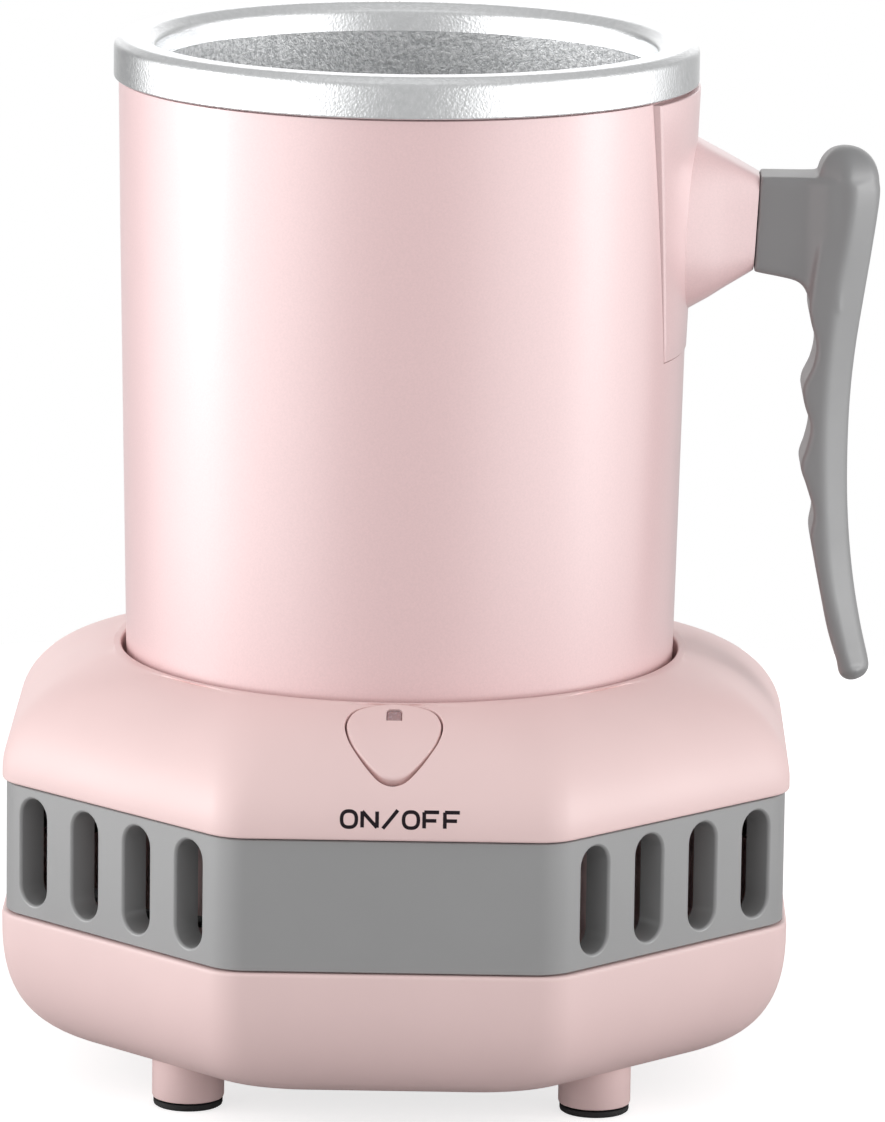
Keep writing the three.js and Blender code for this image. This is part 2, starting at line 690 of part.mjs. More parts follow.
function lead(points, radius) {
  const route = new THREE.CatmullRomCurve3(points.map((p) => new THREE.Vector3(...p)));
  const section = new THREE.Shape();
  section.absarc(0, 0, radius, 0, 2 * Math.PI);
  return new THREE.ExtrudeGeometry(section, {
    steps: points.length * 2,
    curveSegments: 3,
    bevelEnabled: false,
    extrudePath: route,
  });
}

const LEAD_R = 60.5; // the leads run round the inside of the band at this radius

function powerLead() {
  const points = [[0, 53.2, VENT_Z], [-2.5, 50, VENT_Z - 1.5], [-9, 51.5, 39]];
  for (let angle = 110; angle <= 240; angle += 15) {
    points.push([LEAD_R * Math.cos(angle * DEG), LEAD_R * Math.sin(angle * DEG), 36]);
  }
  points.push([-18, -60, 42], [-16, -58.5, 53]);
  return lead(points, 1.1);
}

const CELL_LEAD_ROUTE = [
  [-6, -20.9, 56.4], [-6, -30, 56.4], [-6, -40, 56.4], [-6, -47, 56], [-6, -52, 55.5],
];
const FAN_LEAD_ROUTE = [
  [20, -30.4, 16], [20, -36, 16.5], [18, -46, 22], [16, -55, 36], [14, -57, 50],
];
const THIN_LEAD_R = 0.9;

// ---- mug ----------------------------------------------------------------------------------

const MUG_SEGMENTS = 36;
const MUG_OPEN_R = LINER_FOOT_R + 0.4;

// outer radius of the shell at a height: a straight taper, wider upwards
const mugRadius = (z) => 49.22 + 0.0196 * (z - 82.3);

function saddlePrism(grow) {
  const outline = new THREE.Shape([
    new THREE.Vector2(-SADDLE_HALF_Z0 - grow, SADDLE_Z0 - grow),
    new THREE.Vector2(SADDLE_HALF_Z0 + grow, SADDLE_Z0 - grow),
    new THREE.Vector2(SADDLE_HALF_Z1 + grow, SADDLE_Z1 + grow),
    new THREE.Vector2(-SADDLE_HALF_Z1 - grow, SADDLE_Z1 + grow),
  ]);
  // the outline is drawn in Y and Z, and runs through the +X side of the mug
  const prism = extruded(outline, 30, 70);
  return solid(prism.rotateX(Math.PI / 2).rotateZ(Math.PI / 2));
}

// band of the mug's taper between two offsets from its surface
function mugBand(inner, outerLow, outerHigh, z0, z1) {
  return solid(turned([
    [mugRadius(z0) + inner, z0],
    [mugRadius(z0) + outerLow, z0],
    [mugRadius(z1) + outerHigh, z1],
    [mugRadius(z1) + inner, z1],
  ], MUG_SEGMENTS));
}

const RECESS = -0.9; // the bracket's plate is let this far into the mug's wall

function mugShell() {
  const corner = 10;
  const profile = [[MUG_OPEN_R, MUG_SHELL_Z0]];
  for (let step = 0; step <= 4; step += 1) {
    const angle = (step / 4) * 90 * DEG;
    const r = mugRadius(MUG_SHELL_Z0 + corner) - corner + corner * Math.sin(angle);
    profile.push([r, MUG_SHELL_Z0 + corner - corner * Math.cos(angle)]);
  }
  profile.push([mugRadius(MUG_SHELL_Z1), MUG_SHELL_Z1]);
  profile.push([mugRadius(MUG_SHELL_Z1) - MUG_WALL, MUG_SHELL_Z1]);
  for (let step = 3; step >= 0; step -= 1) {
    const angle = (step / 3) * 90 * DEG;
    const small = corner - MUG_WALL;
    const r = mugRadius(MUG_SHELL_Z0 + corner) - corner + small * Math.sin(angle);
    profile.push([r, MUG_SHELL_Z0 + corner - small * Math.cos(angle)]);
  }
  profile.push([MUG_OPEN_R, MUG_SHELL_Z0 + MUG_WALL]);
  const recess = mugBand(RECESS, 6, 6, SADDLE_Z0 - 2, MUG_SHELL_Z1 + 2).intersect(saddlePrism(GAP));
  let shell = solid(turned(profile, MUG_SEGMENTS)).subtract(recess);
  for (const z of HANDLE_SCREW_Z) {
    shell = shell.subtract(handleScrewBore(z));
  }
  return surface(shell);
}

function mugLiner() {
  const outer = LINER_R + LINER_WALL;
  const under = MUG_SHELL_Z0 + MUG_WALL + GAP;
  return turned([
    [0, MUG_Z0], [LINER_FOOT_R, MUG_Z0], [LINER_FOOT_R, under], [39, under], [42.6, 70.2], [outer, 73.5],
    [outer, LINER_FLANGE_Z0], [LINER_FLANGE_R, LINER_FLANGE_Z0], [LINER_FLANGE_R, LINER_Z1],
    [LINER_R, LINER_Z1], [LINER_R, LINER_FLOOR_Z + 4], [LINER_R - 1.2, LINER_FLOOR_Z + 1.2],
    [LINER_R - 4, LINER_FLOOR_Z], [0, LINER_FLOOR_Z],
  ], MUG_SEGMENTS);
}

function rimRing() {
  const shoulder = RING_Z1 - 1.7;
  return turned([
    [RING_R - 0.4, RING_Z0], [RING_R, RING_Z0 + 0.5], [RING_R, shoulder], [RING_R - 1.1, RING_Z1 - 0.3],
    [RING_CREST_R, RING_Z1], [LIP_R + 0.8, RING_Z1 - 0.4], [LIP_R, shoulder], [LIP_R, RING_SEAT_Z],
    [RING_SKIRT_R, RING_SEAT_Z], [RING_SKIRT_R, RING_SKIRT_Z0], [RING_CREST_R, RING_SKIRT_Z0],
    [RING_CREST_R, RING_Z0],
  ], MUG_SEGMENTS);
}

// ---- handle -------------------------------------------------------------------------------

// rounded-box section of the bracket's neck at one x
function neckRing(x, low, high, halfDepth, power) {
  const points = [];
  const count = 20;
  const middle = (low + high) / 2;
  const half = (high - low) / 2;
  for (let i = 0; i < count; i += 1) {
    const angle = (i / count) * 2 * Math.PI;
    const c = Math.cos(angle);
    const s = Math.sin(angle);
    const y = halfDepth * Math.sign(c) * Math.abs(c) ** (2 / power);
    const z = middle + half * Math.sign(s) * Math.abs(s) ** (2 / power);
    points.push(new THREE.Vector3(x, y, z));
  }
  return points;
}

function handleScrewBore(z) {
  const bore = new THREE.CylinderGeometry(HANDLE_BORE_R, HANDLE_BORE_R, 35, 12);
  return solid(bore.rotateZ(Math.PI / 2).translate(53, 0, z));
}

function handleBracket() {
  const plate = mugBand(RECESS + GAP, 0.3, 1.1, SADDLE_Z0 - 2, SADDLE_Z1).intersect(saddlePrism(0));
  const neck = loft([
    neckRing(46, 132, 172, 17.5, 2.4),
    neckRing(49.5, 136.5, 169.8, 15.5, 2.5),
    neckRing(51.8, 138.6, 168, 12.5, 2.8),
    neckRing(54.2, 140.8, 166.5, 10, 3.2),
    neckRing(57.2, 142.8, 165, 7.6, 3.8),
    neckRing(JOINT_X, 145.7, 162.7, STUB_DEPTH / 2, 5),
  ]);
  const inside = solid(turned([
    [0, 120], [mugRadius(120) + RECESS + GAP, 120], [mugRadius(184) + RECESS + GAP, 184], [0, 184],
  ], MUG_SEGMENTS));
  let bracket = plate.add(solid(neck).subtract(inside));
  for (const z of HANDLE_SCREW_Z) bracket = bracket.subtract(handleScrewBore(z));
  return surface(bracket);
}

// finger side of the grip, from the stub's lower fillet down to the tip
const FINGER_SIDE = [
  [72.0, 140.5], [72.4, 137], [73.4, 133], [72.8, 129], [71.2, 125.3], [71.6, 122], [72.7, 118.4],
  [72.1, 114.5], [71.1, 111], [72.2, 107.5], [73.6, 102.5], [73.1, 98.6], [73.8, 94.5], [75.1, 88],
  [76.5, 81], [78.4, 74.6],
];
// palm side, from the tip up to the knob
const PALM_SIDE = [
  [84.4, 74.4], [82.8, 81], [81.2, 89.5], [80.1, 99],
  [79.6, 109], [79.7, 121], [80.5, 131.5], [82.2, 143.7],
];
const KNOB = { x: 79.1, z: 162.3, r: 5.6 };
const TIP = { x: 81.5, z: 74.2, r: 3.0 };

const smooth = (points, count) =>
  new THREE.SplineCurve(points.map(([x, z]) => new THREE.Vector2(x, z))).getPoints(count);

const arc = ({ x, z, r }, from, to, count) =>
  new THREE.EllipseCurve(x, z, r, r, from * DEG, to * DEG).getPoints(count);

function gripOutline() {
  return new THREE.Shape([
    new THREE.Vector2(73.2, 150),
    ...smooth(FINGER_SIDE, 26),
    ...arc(TIP, 195, 345, 5),
    ...smooth(PALM_SIDE, 9),
    ...arc(KNOB, -8, 180, 9),
  ]);
}

// drawn in X and Z, and as deep as asked about the plane y = 0
function sideways(shape, depth, bevel) {
  const straight = depth - 2 * bevel;
  const body = new THREE.ExtrudeGeometry(shape, {
    depth: straight,
    bevelSegments: 2,
    bevelThickness: bevel,
    bevelSize: bevel * 0.7,
    bevelOffset: -bevel * 0.7,
  });
  return solid(body.translate(0, 0, -straight / 2).rotateX(Math.PI / 2));
}

function handleGrip() {
  const stub = new THREE.Shape([
    new THREE.Vector2(JOINT_X + GAP, 145.7),
    new THREE.Vector2(70, 144.1),
    new THREE.Vector2(72.2, 141.4),
    new THREE.Vector2(78, 141),
    new THREE.Vector2(78, 162.8),
    new THREE.Vector2(JOINT_X + GAP, 162.7),
  ]);
  let grip = sideways(gripOutline(), GRIP_DEPTH, 2.5).add(sideways(stub, STUB_DEPTH, 1));
  for (const z of HANDLE_SCREW_Z) grip = grip.subtract(handleScrewBore(z));
  return surface(grip);
}

function handleScrew(z) {
  return screw(HANDLE_SCREW).rotateY(Math.PI / 2).translate(46.3, 0, z);
}

// ---- assembly -----------------------------------------------------------------------------

const machine = new THREE.Group();
const base = new THREE.Group();
const mug = new THREE.Group();
machine.add(base, mug);

function place(parent, name, geometry, material) {
  const mesh = new THREE.Mesh(weld(geometry), material);
  mesh.name = name;
  parent.add(mesh);
  return mesh;
}

place(base, 'base_top_shell', baseTopShell(), PINK);
place(base, 'vent_band', ventBand(), GREY);
place(base, 'base_bottom_shell', baseBottomShell(), PINK);

const PAD = turned([
  [0, 0], [FOOT_R - 0.6, 0], [FOOT_R - 0.2, 0.4], [FOOT_R - 0.2, PAD_H], [0, PAD_H],
], 16);
CORNERS.forEach(([sx, sy], i) => {
  const pad = place(base, `foot_pad_${i + 1}`, PAD, BLACK);
  pad.position.set(sx * FOOT_XY, sy * FOOT_XY, 0);
  const long = place(base, `housing_screw_${i + 1}`, screw(HOUSING_SCREW), STEEL);
  long.position.set(sx * FOOT_XY, sy * FOOT_XY, SCREW_SEAT_Z - GAP - HOUSING_SCREW.headH);
  const short = place(base, `fan_screw_${i + 1}`, screw(FAN_SCREW), STEEL);
  short.rotation.x = Math.PI;
  short.position.set(sx * FAN_SCREW_XY, sy * FAN_SCREW_XY, FAN_Z0 + FAN_H + GAP + FAN_SCREW.headH);
});

place(base, 'cold_plate', coldPlate(), ALUMINIUM);
const GASKET = collar(WELL_HOLE_R + 0.3, FLANGE_R - 0.2, FLANGE_Z1 + GAP, FLANGE_Z1 + 1, 24);
place(base, 'well_gasket', GASKET, SILICONE);
place(base, 'peltier_module', peltierModule(), CERAMIC);
place(base, 'foam_ring', foamRing(), FOAM);
place(base, 'heat_sink', heatSink(), ALUMINIUM);
SIDES.forEach((side, i) => {
  const clamp = place(base, `clamp_screw_${i + 1}`, screw(CLAMP_SCREW), STEEL);
  clamp.position.set(side * CLAMP_SCREW_X, 0, SINK_PLATE_Z0 - CLAMP_SCREW.headH - GAP);
});

place(base, 'fan_frame', fanFrame(), DARK);
place(base, 'fan_bearing', collar(1.35, 2.35, FAN_Z0 + 2, 21.6, 16), BRASS);
place(base, 'fan_stator', fanStator(), COPPER);
place(base, 'fan_rotor', fanRotor(), DARK);
place(base, 'fan_axle', disc(1.0, FAN_Z0 + 2, 26.6, 12), STEEL);

place(base, 'control_board', controlBoard(), BOARD);
SIDES.forEach((side, i) => place(base, `board_screw_${i + 1}`, boardScrew(side), STEEL));
place(base, 'tact_switch', tactSwitch(), DARK);
place(base, 'switch_plunger', switchPlunger(), BLACK);
place(base, 'indicator_led', indicatorLed(), LENS);
place(base, 'button_cap', buttonCap(), PINK);
place(base, 'led_window', ledWindow(), LENS);

place(base, 'dc_jack', dcJack(), BLACK);
place(base, 'power_lead', powerLead(), BLACK);
place(base, 'cell_lead', lead(CELL_LEAD_ROUTE, THIN_LEAD_R), RED);
place(base, 'fan_lead', lead(FAN_LEAD_ROUTE, THIN_LEAD_R), BLACK);

place(mug, 'mug_shell', mugShell(), PINK);
place(mug, 'mug_liner', mugLiner(), ALUMINIUM);
const RIM_SEAL = collar(LIP_R + 0.5, LINER_FLANGE_R - 0.1, LINER_Z1 + GAP, RING_SEAT_Z - GAP, MUG_SEGMENTS);
place(mug, 'rim_seal', RIM_SEAL, SILICONE);
place(mug, 'rim_ring', rimRing(), ALUMINIUM);
place(mug, 'handle_bracket', handleBracket(), PINK);
place(mug, 'handle_grip', handleGrip(), GREY);
HANDLE_SCREW_Z.forEach((z, i) => place(mug, `handle_screw_${i + 1}`, handleScrew(z), STEEL));

// the handle makes the box lopsided: this puts the origin under the middle of the box
machine.position.x = (SHELL_HALF - HANDLE_REACH) / 2;

export default machine;
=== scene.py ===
# Desktop drink cooler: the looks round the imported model. Lengths are millimetres about the mug's axis
# until mesh_object() writes them as metres in the row frame.
import json
from math import asin, atan2, copysign, cos, hypot, pi, radians, sin, sqrt, tan
import bpy
from mathutils import Matrix, Vector
from mathutils.bvhtree import BVHTree
from mathutils.interpolate import poly_3d_calc


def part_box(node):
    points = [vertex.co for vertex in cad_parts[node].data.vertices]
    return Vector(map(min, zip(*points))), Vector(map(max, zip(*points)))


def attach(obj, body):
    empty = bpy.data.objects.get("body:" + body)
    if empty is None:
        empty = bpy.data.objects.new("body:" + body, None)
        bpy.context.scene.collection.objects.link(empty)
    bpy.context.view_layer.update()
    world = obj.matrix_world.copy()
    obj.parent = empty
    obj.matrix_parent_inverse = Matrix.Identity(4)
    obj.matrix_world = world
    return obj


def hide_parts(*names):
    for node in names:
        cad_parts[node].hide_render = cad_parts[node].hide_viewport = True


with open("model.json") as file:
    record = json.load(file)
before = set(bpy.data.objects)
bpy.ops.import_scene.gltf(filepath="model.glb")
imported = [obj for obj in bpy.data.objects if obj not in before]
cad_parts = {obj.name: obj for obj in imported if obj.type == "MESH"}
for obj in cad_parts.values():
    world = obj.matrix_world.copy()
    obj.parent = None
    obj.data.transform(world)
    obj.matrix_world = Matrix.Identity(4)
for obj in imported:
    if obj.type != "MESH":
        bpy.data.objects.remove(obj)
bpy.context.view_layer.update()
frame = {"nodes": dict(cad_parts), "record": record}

MM = 0.001
RING_LOW, RING_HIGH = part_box("rim_ring")
AXIS_X = (RING_LOW.x + RING_HIGH.x) / 2

# ---- driving dimensions ----

WALL = 2.3
SHELL_HALF = 69.8
BAND_HALF = 69.0
CORNER_R = 9.0
BAND_Z0 = 32.5
BAND_Z1 = 56.1
JOINT_LINE = 0.3  # shadow gap between band and shells
SHELL_EDGE = 0.5  # radius of the shells' edges at the band
DOME = {"z0": 58.3, "z1": 76.8, "inset": 23.8, "power": 1.93, "grow": 0.91}
BOWL = {"z0": 31.5, "z1": 7.2, "inset": 23.7, "power": 2.58, "grow": 0.76}
LIP_HALF = BAND_HALF - WALL - 0.6
LIP_WALL = 1.2
LIP_DEPTH = 2.1
INK = 0.04  # the printed label stands this proud, and the shells are drawn this much inside the box

WELL_R = 50.0
WELL_FLOOR_Z = 64.4
WELL_HOLE_R = 34.5
WELL_LIP_R = 0.45
WELL_LIP_Z = 76.5

FOOT_XY = 36.0
FOOT_R = 6.4
PAD_H = 1.1
CORNERS = [(1, -1), (-1, -1), (-1, 1), (1, 1)]
INTAKE = {"count": 9, "pitch": 5.6, "half": 1.7, "reach": 26}

VENT_FACES = (45, 135, 225, 315)
VENT_COUNT = 4
VENT_PITCH = 13.45
VENT_W = 6.6
VENT_H = 19.2
VENT_Z = 44.7
VENT_SHIFT = 1.0
VENT_FILLET = 0.65
VENT_DEPTH = 5.4  # outer face to the inner end of the collar round each slot
VENT_COLLAR = 1.2

BUTTON_TOP = Vector((0, -50.9, 76.35))
BUTTON_TILT = radians(32.1)
BUTTON_DOWN = Vector((0, -cos(BUTTON_TILT), -sin(BUTTON_TILT)))
BUTTON_OUT = Vector((0, -sin(BUTTON_TILT), cos(BUTTON_TILT)))
BUTTON_LEDGE = 2.2
BUTTON_GAP = 0.3
CAP_SLACK = -0.9  # the cap stops short of the opening's tip
CAP_EDGE = 0.5
CAP_ARCH = 0.55  # how far the cap's top edge stands above the dome
SHIELD_HALF = [
    (0, 0), (5.0, 1.2), (7.5, 3.3), (8.5, 6.8), (7.8, 10.8), (6.1, 14.3), (4.2, 17.1), (2.2, 19.1),
]
SHIELD_TIP = (0, 19.75)
SHIELD_CENTRE = (0, 8.5)

MUG_Z0 = 66.0
MUG_Z1 = 178.6
MUG_WALL = 2.2
MUG_CORNER = 10.0
MUG_HOLE_R = 36.3  # the liner's foot comes through the mug's floor
LINER_R = 43.5
LINER_FLOOR_Z = 71.0
LINER_FILLET = 4.0
LINER_FOOT_R = 35.9
LINER_FOOT_Z = 65.3
FLANGE_R = 47.1
FLANGE_Z0 = 179.6
FLANGE_Z1 = 181.1
SADDLE_Z0 = 131.6
SADDLE_Z1 = 178.3
SADDLE_HALF_Z0 = 19.6
SADDLE_HALF_Z1 = 26.8
RECESS = 0.9

JOINT_X = 62.4
JOINT_Z = 154.2
JOINT_SLANT = 0.05
HANDLE_SCREW_Z = (149.5, 158.5)
HANDLE_BORE_R = 2.0
GRIP_DEPTH = 15.0

# ---- lists of points ----


def rounded(corners, steps=6):
    """A closed outline of (a, b, radius) corners, with equally many points round each."""
    points = []
    count = len(corners)
    for i, (a, b, radius) in enumerate(corners):
        here = Vector((a, b))
        before = Vector(corners[i - 1][:2]) - here
        after = Vector(corners[(i + 1) % count][:2]) - here
        if radius <= 0:
            points.append((a, b))
            continue
        half = before.angle(after) / 2
        reach = min(radius / tan(half), before.length * 0.499, after.length * 0.499)
        start = here + before.normalized() * reach
        end = here + after.normalized() * reach
        for step in range(steps + 1):
            t = step / steps
            # a quadratic through the corner is close to the arc for the angles met here
            point = start * (1 - t) ** 2 + here * 2 * t * (1 - t) + end * t ** 2
            points.append((point.x, point.y))
    return points


def smooth(points, per_span):
    """Catmull-Rom curve through a list of equal-length tuples, ends included."""
    size = len(points[0])
    made = []
    for i in range(len(points) - 1):
        p0, p1, p2, p3 = (points[min(max(i + k, 0), len(points) - 1)] for k in (-1, 0, 1, 2))
        for step in range(per_span):
            t = step / per_span
            made.append(tuple(
                0.5 * (2 * p1[k] + (p2[k] - p0[k]) * t
                       + (2 * p0[k] - 5 * p1[k] + 4 * p2[k] - p3[k]) * t ** 2
                       + (3 * p1[k] - p0[k] - 3 * p2[k] + p3[k]) * t ** 3)
                for k in range(size)
            ))
    made.append(tuple(points[-1]))
    return made


def at_height(curve, z):
    """The first coordinate of an (a, z) polyline, sorted by z either way, at height z."""
    rising = curve if curve[0][1] < curve[-1][1] else curve[::-1]
    if z <= rising[0][1]:
        return rising[0][0]
    for (a0, z0), (a1, z1) in zip(rising, rising[1:]):
        if z <= z1:
            return a0 + (a1 - a0) * (z - z0) / max(z1 - z0, 1e-9)
    return rising[-1][0]


def quarter(steps, first=0):
    """Sine and cosine at even steps of a quarter turn."""
    turns = [pi / 2 * step / steps for step in range(first, steps + 1)]
    return [(sin(turn), cos(turn)) for turn in turns]


def round_outline(radius, count, middle=(0, 0)):
    """Circle in a plane."""
    turns = [2 * pi * i / count for i in range(count)]
    return [(middle[0] + radius * cos(turn), middle[1] + radius * sin(turn)) for turn in turns]


def superellipse(power, count):
    """Outline between -1 and 1: round at power 2, and squarer above it."""
    share = 2 / power
    outline = round_outline(1, count)
    return [tuple(copysign(abs(a) ** share, a) for a in point) for point in outline]


def octagon(half, radius, z):
    """Octagon with rounded corners, counter-clockwise, the same number of points at every size."""
    corner_steps, flat_steps = 10, 8
    eighth = pi / 4
    reach = (half - radius) / cos(eighth / 2)
    half_flat = (half - radius) * tan(eighth / 2)
    points = []
    for corner in range(8):
        middle = (corner + 0.5) * eighth
        for step in range(corner_steps + 1):
            turn = middle + (step / corner_steps - 0.5) * eighth
            x = reach * cos(middle) + radius * cos(turn)
            y = reach * sin(middle) + radius * sin(turn)
            points.append((x, y, z))
        flat = middle + eighth / 2
        for step in range(1, flat_steps):
            along = half_flat * (2 * step / flat_steps - 1)
            x = half * cos(flat) - along * sin(flat)
            y = half * sin(flat) + along * cos(flat)
            points.append((x, y, z))
    return points


def octagons(levels):
    """Rings with the casing's corner radius, from (half size, height) levels."""
    return [octagon(half, CORNER_R, z) for half, z in levels]


def circle(radius, z):
    """Circle with one point in the direction of each point of an octagon."""
    ring = []
    for x, y, _ in octagon(60, 35, z):
        scale = radius / hypot(x, y)
        ring.append((x * scale, y * scale, z))
    return ring


def mixed(ring_a, ring_b, t):
    """Ring part-way between two rings."""
    return [tuple(Vector(a).lerp(Vector(b), t)) for a, b in zip(ring_a, ring_b)]


def crown(curve, turn, offset=INK):
    """Ring of a curved shell, octagonal in plan. The turn is 0 at its side and 1 at its crest."""
    angle = turn * pi / 2
    t = sin(angle) ** (2 / curve["power"])
    inset = curve["inset"] * (1 - cos(angle) ** (2 / curve["power"]))
    towards = 1 if curve["z1"] > curve["z0"] else -1
    z = curve["z0"] + (curve["z1"] - curve["z0"] - towards * offset) * t
    return octagon(SHELL_HALF - offset - inset, CORNER_R + curve["grow"] * inset, z)


# ---- meshes ----


def in_scene(name, data):
    """An object of the scene that holds the data."""
    holder = bpy.data.objects.new(name, data)
    bpy.context.scene.collection.objects.link(holder)
    return holder


def mesh_object(name, points, faces):
    """A mesh from millimetres about the mug's axis."""
    mesh = bpy.data.meshes.new(name)
    mesh.from_pydata([(AXIS_X + x * MM, y * MM, z * MM) for x, y, z in points], [], faces)
    mesh.update()
    return in_scene(name, mesh)


def loft(name, rings, closed=False):
    """A skin over rings of equal length, with flat ends, or with the last ring joined to the first."""
    count = len(rings[0])
    points = [p for ring in rings for p in ring]
    faces = []
    for i in range(len(rings) if closed else len(rings) - 1):
        low = i * count
        high = ((i + 1) % len(rings)) * count
        for j in range(count):
            following = (j + 1) % count
            faces.append((low + j, low + following, high + following, high + j))
    if not closed:
        faces.append(tuple(reversed(range(count))))
        faces.append(tuple((len(rings) - 1) * count + j for j in range(count)))
    return outward(mesh_object(name, points, faces))


def turned(name, profile, segments=128):
    """A closed (radius, height) profile turned about the mug's axis. Points on the axis become one vertex."""
    points = []
    rows = []
    for radius, z in profile:
        if radius < 1e-6:
            rows.append([len(points)] * segments)
            points.append((0, 0, z))
            continue
        rows.append(list(range(len(points), len(points) + segments)))
        for j in range(segments):
            angle = 2 * pi * j / segments
            points.append((radius * cos(angle), radius * sin(angle), z))
    faces = []
    for low, high in zip(rows, rows[1:] + rows[:1]):
        for j in range(segments):
            following = (j + 1) % segments
            corners = list(dict.fromkeys((low[j], low[following], high[following], high[j])))
            if len(corners) > 2:
                faces.append(corners)
    return outward(mesh_object(name, points, faces))


def rod(name, radius, low, high, segments=128):
    """Upright cylinder about the mug's axis."""
    return turned(name, [(0, low), (radius, low), (radius, high), (0, high)], segments)


def at_corner(piece, corner):
    """Moves a piece from the mug's axis to one foot."""
    x, y = corner
    piece.data.transform(Matrix.Translation((x * FOOT_XY * MM, y * FOOT_XY * MM, 0)))
    return piece


def outward(piece):
    """Turns the faces outwards, by the sign of the volume they enclose."""
    mesh = piece.data
    volume = 0
    for face in mesh.polygons:
        corners = [mesh.vertices[v].co for v in face.vertices]
        for b, c in zip(corners[1:], corners[2:]):
            volume += corners[0].dot(b.cross(c))
    if volume < 0:
        mesh.flip_normals()
    return piece


def evaluated(holder):
    """A mesh of what an object comes out as."""
    depsgraph = bpy.context.evaluated_depsgraph_get()
    return bpy.data.meshes.new_from_object(holder.evaluated_get(depsgraph))


def modify(piece, kind, **settings):
    """Applies a modifier."""
    change = piece.modifiers.new(kind, kind)
    for name, value in settings.items():
        setattr(change, name, value)
    made = evaluated(piece)
    old = piece.data
    piece.modifiers.clear()
    piece.data = made
    bpy.data.meshes.remove(old)
    made.name = piece.name


def combine(piece, operation, *others):
    """Boolean with other pieces, which are used up."""
    for other in others:
        modify(piece, "BOOLEAN", operation=operation, solver="EXACT", object=other)
        drop(other)


def drop(piece):
    """Removes a helper piece."""
    mesh = piece.data
    bpy.data.objects.remove(piece)
    bpy.data.meshes.remove(mesh)


def shade(piece, angle=30):
    """Smooth shading with hard edges above an angle."""
    piece.data.shade_smooth()
    piece.data.set_sharp_from_angle(angle=radians(angle))
    return piece


class Surface:
    """The smooth surface of a shape before it is cut: for its normals, and for laying things on."""

    def __init__(self, piece):
        shade(piece)
        mesh = piece.data
        self.points = [v.co.copy() for v in mesh.vertices]
        self.faces = [tuple(face.vertices) for face in mesh.polygons]
        self.flat = [face.normal.copy() for face in mesh.polygons]
        normals = [normal.vector.copy() for normal in mesh.corner_normals]
        self.corners = [[normals[i] for i in face.loop_indices] for face in mesh.polygons]
        self.tree = BVHTree.FromPolygons(self.points, self.faces)

    def normal_at(self, place, index):
        corners = [self.points[v] for v in self.faces[index]]
        total = Vector()
        for weight, normal in zip(poly_3d_calc(corners, place), self.corners[index]):
            total += weight * normal
        return total.normalized()

    def restore(self, piece):
        """Gives a cut piece the old smooth normals wherever the old surface is still there."""
        shade(piece)
        mesh = piece.data
        chosen = [Vector() for _ in mesh.loops]
        for face in mesh.polygons:
            _, _, index, distance = self.tree.find_nearest(face.center)
            if distance > 2e-5 or self.flat[index].dot(face.normal) < 0.97:
                continue
            for i in face.loop_indices:
                place, _, index, _ = self.tree.find_nearest(mesh.vertices[mesh.loops[i].vertex_index].co)
                normal = self.normal_at(place, index)
                if normal.dot(face.normal) > 0.9:
                    chosen[i] = normal
        mesh.normals_split_custom_set(chosen)

    def hit(self, start, along):
        """Where a ray meets the surface, in millimetres about the mug's axis, with the normal there."""
        origin = Vector((AXIS_X + start[0] * MM, start[1] * MM, start[2] * MM))
        place, _, index, _ = self.tree.ray_cast(origin, Vector(along))
        normal = self.normal_at(place, index)
        return Vector(((place.x - AXIS_X) / MM, place.y / MM, place.z / MM)), normal


def stadium(width, height):
    """Upright slot outline about the origin, as (across, up)."""
    half = width / 2
    straight = height / 2 - half
    steps = 12
    points = []
    for end, first in ((1, 0), (-1, pi)):
        for step in range(steps + 1):
            angle = pi * step / steps + first
            points.append((half * cos(angle), end * straight + half * sin(angle)))
    return points


# ---- base casing ----


def dome_rings():
    """The outside of the upper shell, from the band up to the lip of the well."""
    foot = BAND_Z1 + JOINT_LINE
    half = SHELL_HALF - INK
    rings = octagons((half - SHELL_EDGE * (1 - s), foot + SHELL_EDGE * (1 - c)) for s, c in quarter(4))
    last_turn = 0.855
    steps = 26
    rings += [crown(DOME, last_turn * i / steps) for i in range(steps + 1)]
    shoulder = rings[-1]
    shoulder_z = shoulder[0][2]
    brow = circle(WELL_R + WELL_LIP_R + 0.9, WELL_LIP_Z)
    for t in (0.3, 0.6, 0.85):
        z = shoulder_z + (WELL_LIP_Z - shoulder_z) * (1 - (1 - t) ** 2)
        rings.append([(x, y, z) for x, y, _ in mixed(shoulder, brow, t)])
    rings.append(brow)
    for s, c in quarter(6):
        rings.append(circle(WELL_R + WELL_LIP_R * (1 - s), WELL_LIP_Z - WELL_LIP_R * (1 - c)))
    return rings


def at_button(u, v, w):
    """A place in the button's frame: u across the front, v down the slope, w outwards."""
    return BUTTON_TOP + Vector((-u, 0, 0)) + BUTTON_DOWN * v + BUTTON_OUT * w


def shield(grow, slack=0.0):
    """The button's outline, smooth, grown by a margin, and longer at its tip by the slack."""
    loop = SHIELD_HALF + [SHIELD_TIP] + [(-u, v) for u, v in reversed(SHIELD_HALF[1:])]
    span = 8
    curve = smooth([loop[-1]] + loop + loop[:2], span)[span:span * (len(loop) + 1)]
    centre = Vector(SHIELD_CENTRE)
    grown = []
    for i, point in enumerate(curve):
        here = Vector(point)
        tangent = (Vector(curve[(i + 1) % len(curve)]) - Vector(curve[i - 1])).normalized()
        side = Vector((tangent.y, -tangent.x))
        if side.dot(here - centre) < 0:
            side = -side
        u, v = here + side * grow
        grown.append((u, v + slack * max(0, v / SHIELD_TIP[1] - 0.65) / 0.35))
    return grown


def level_ring(outline, w):
    """An outline at one level of the button's frame."""
    return [tuple(at_button(u, v, w)) for u, v in outline]


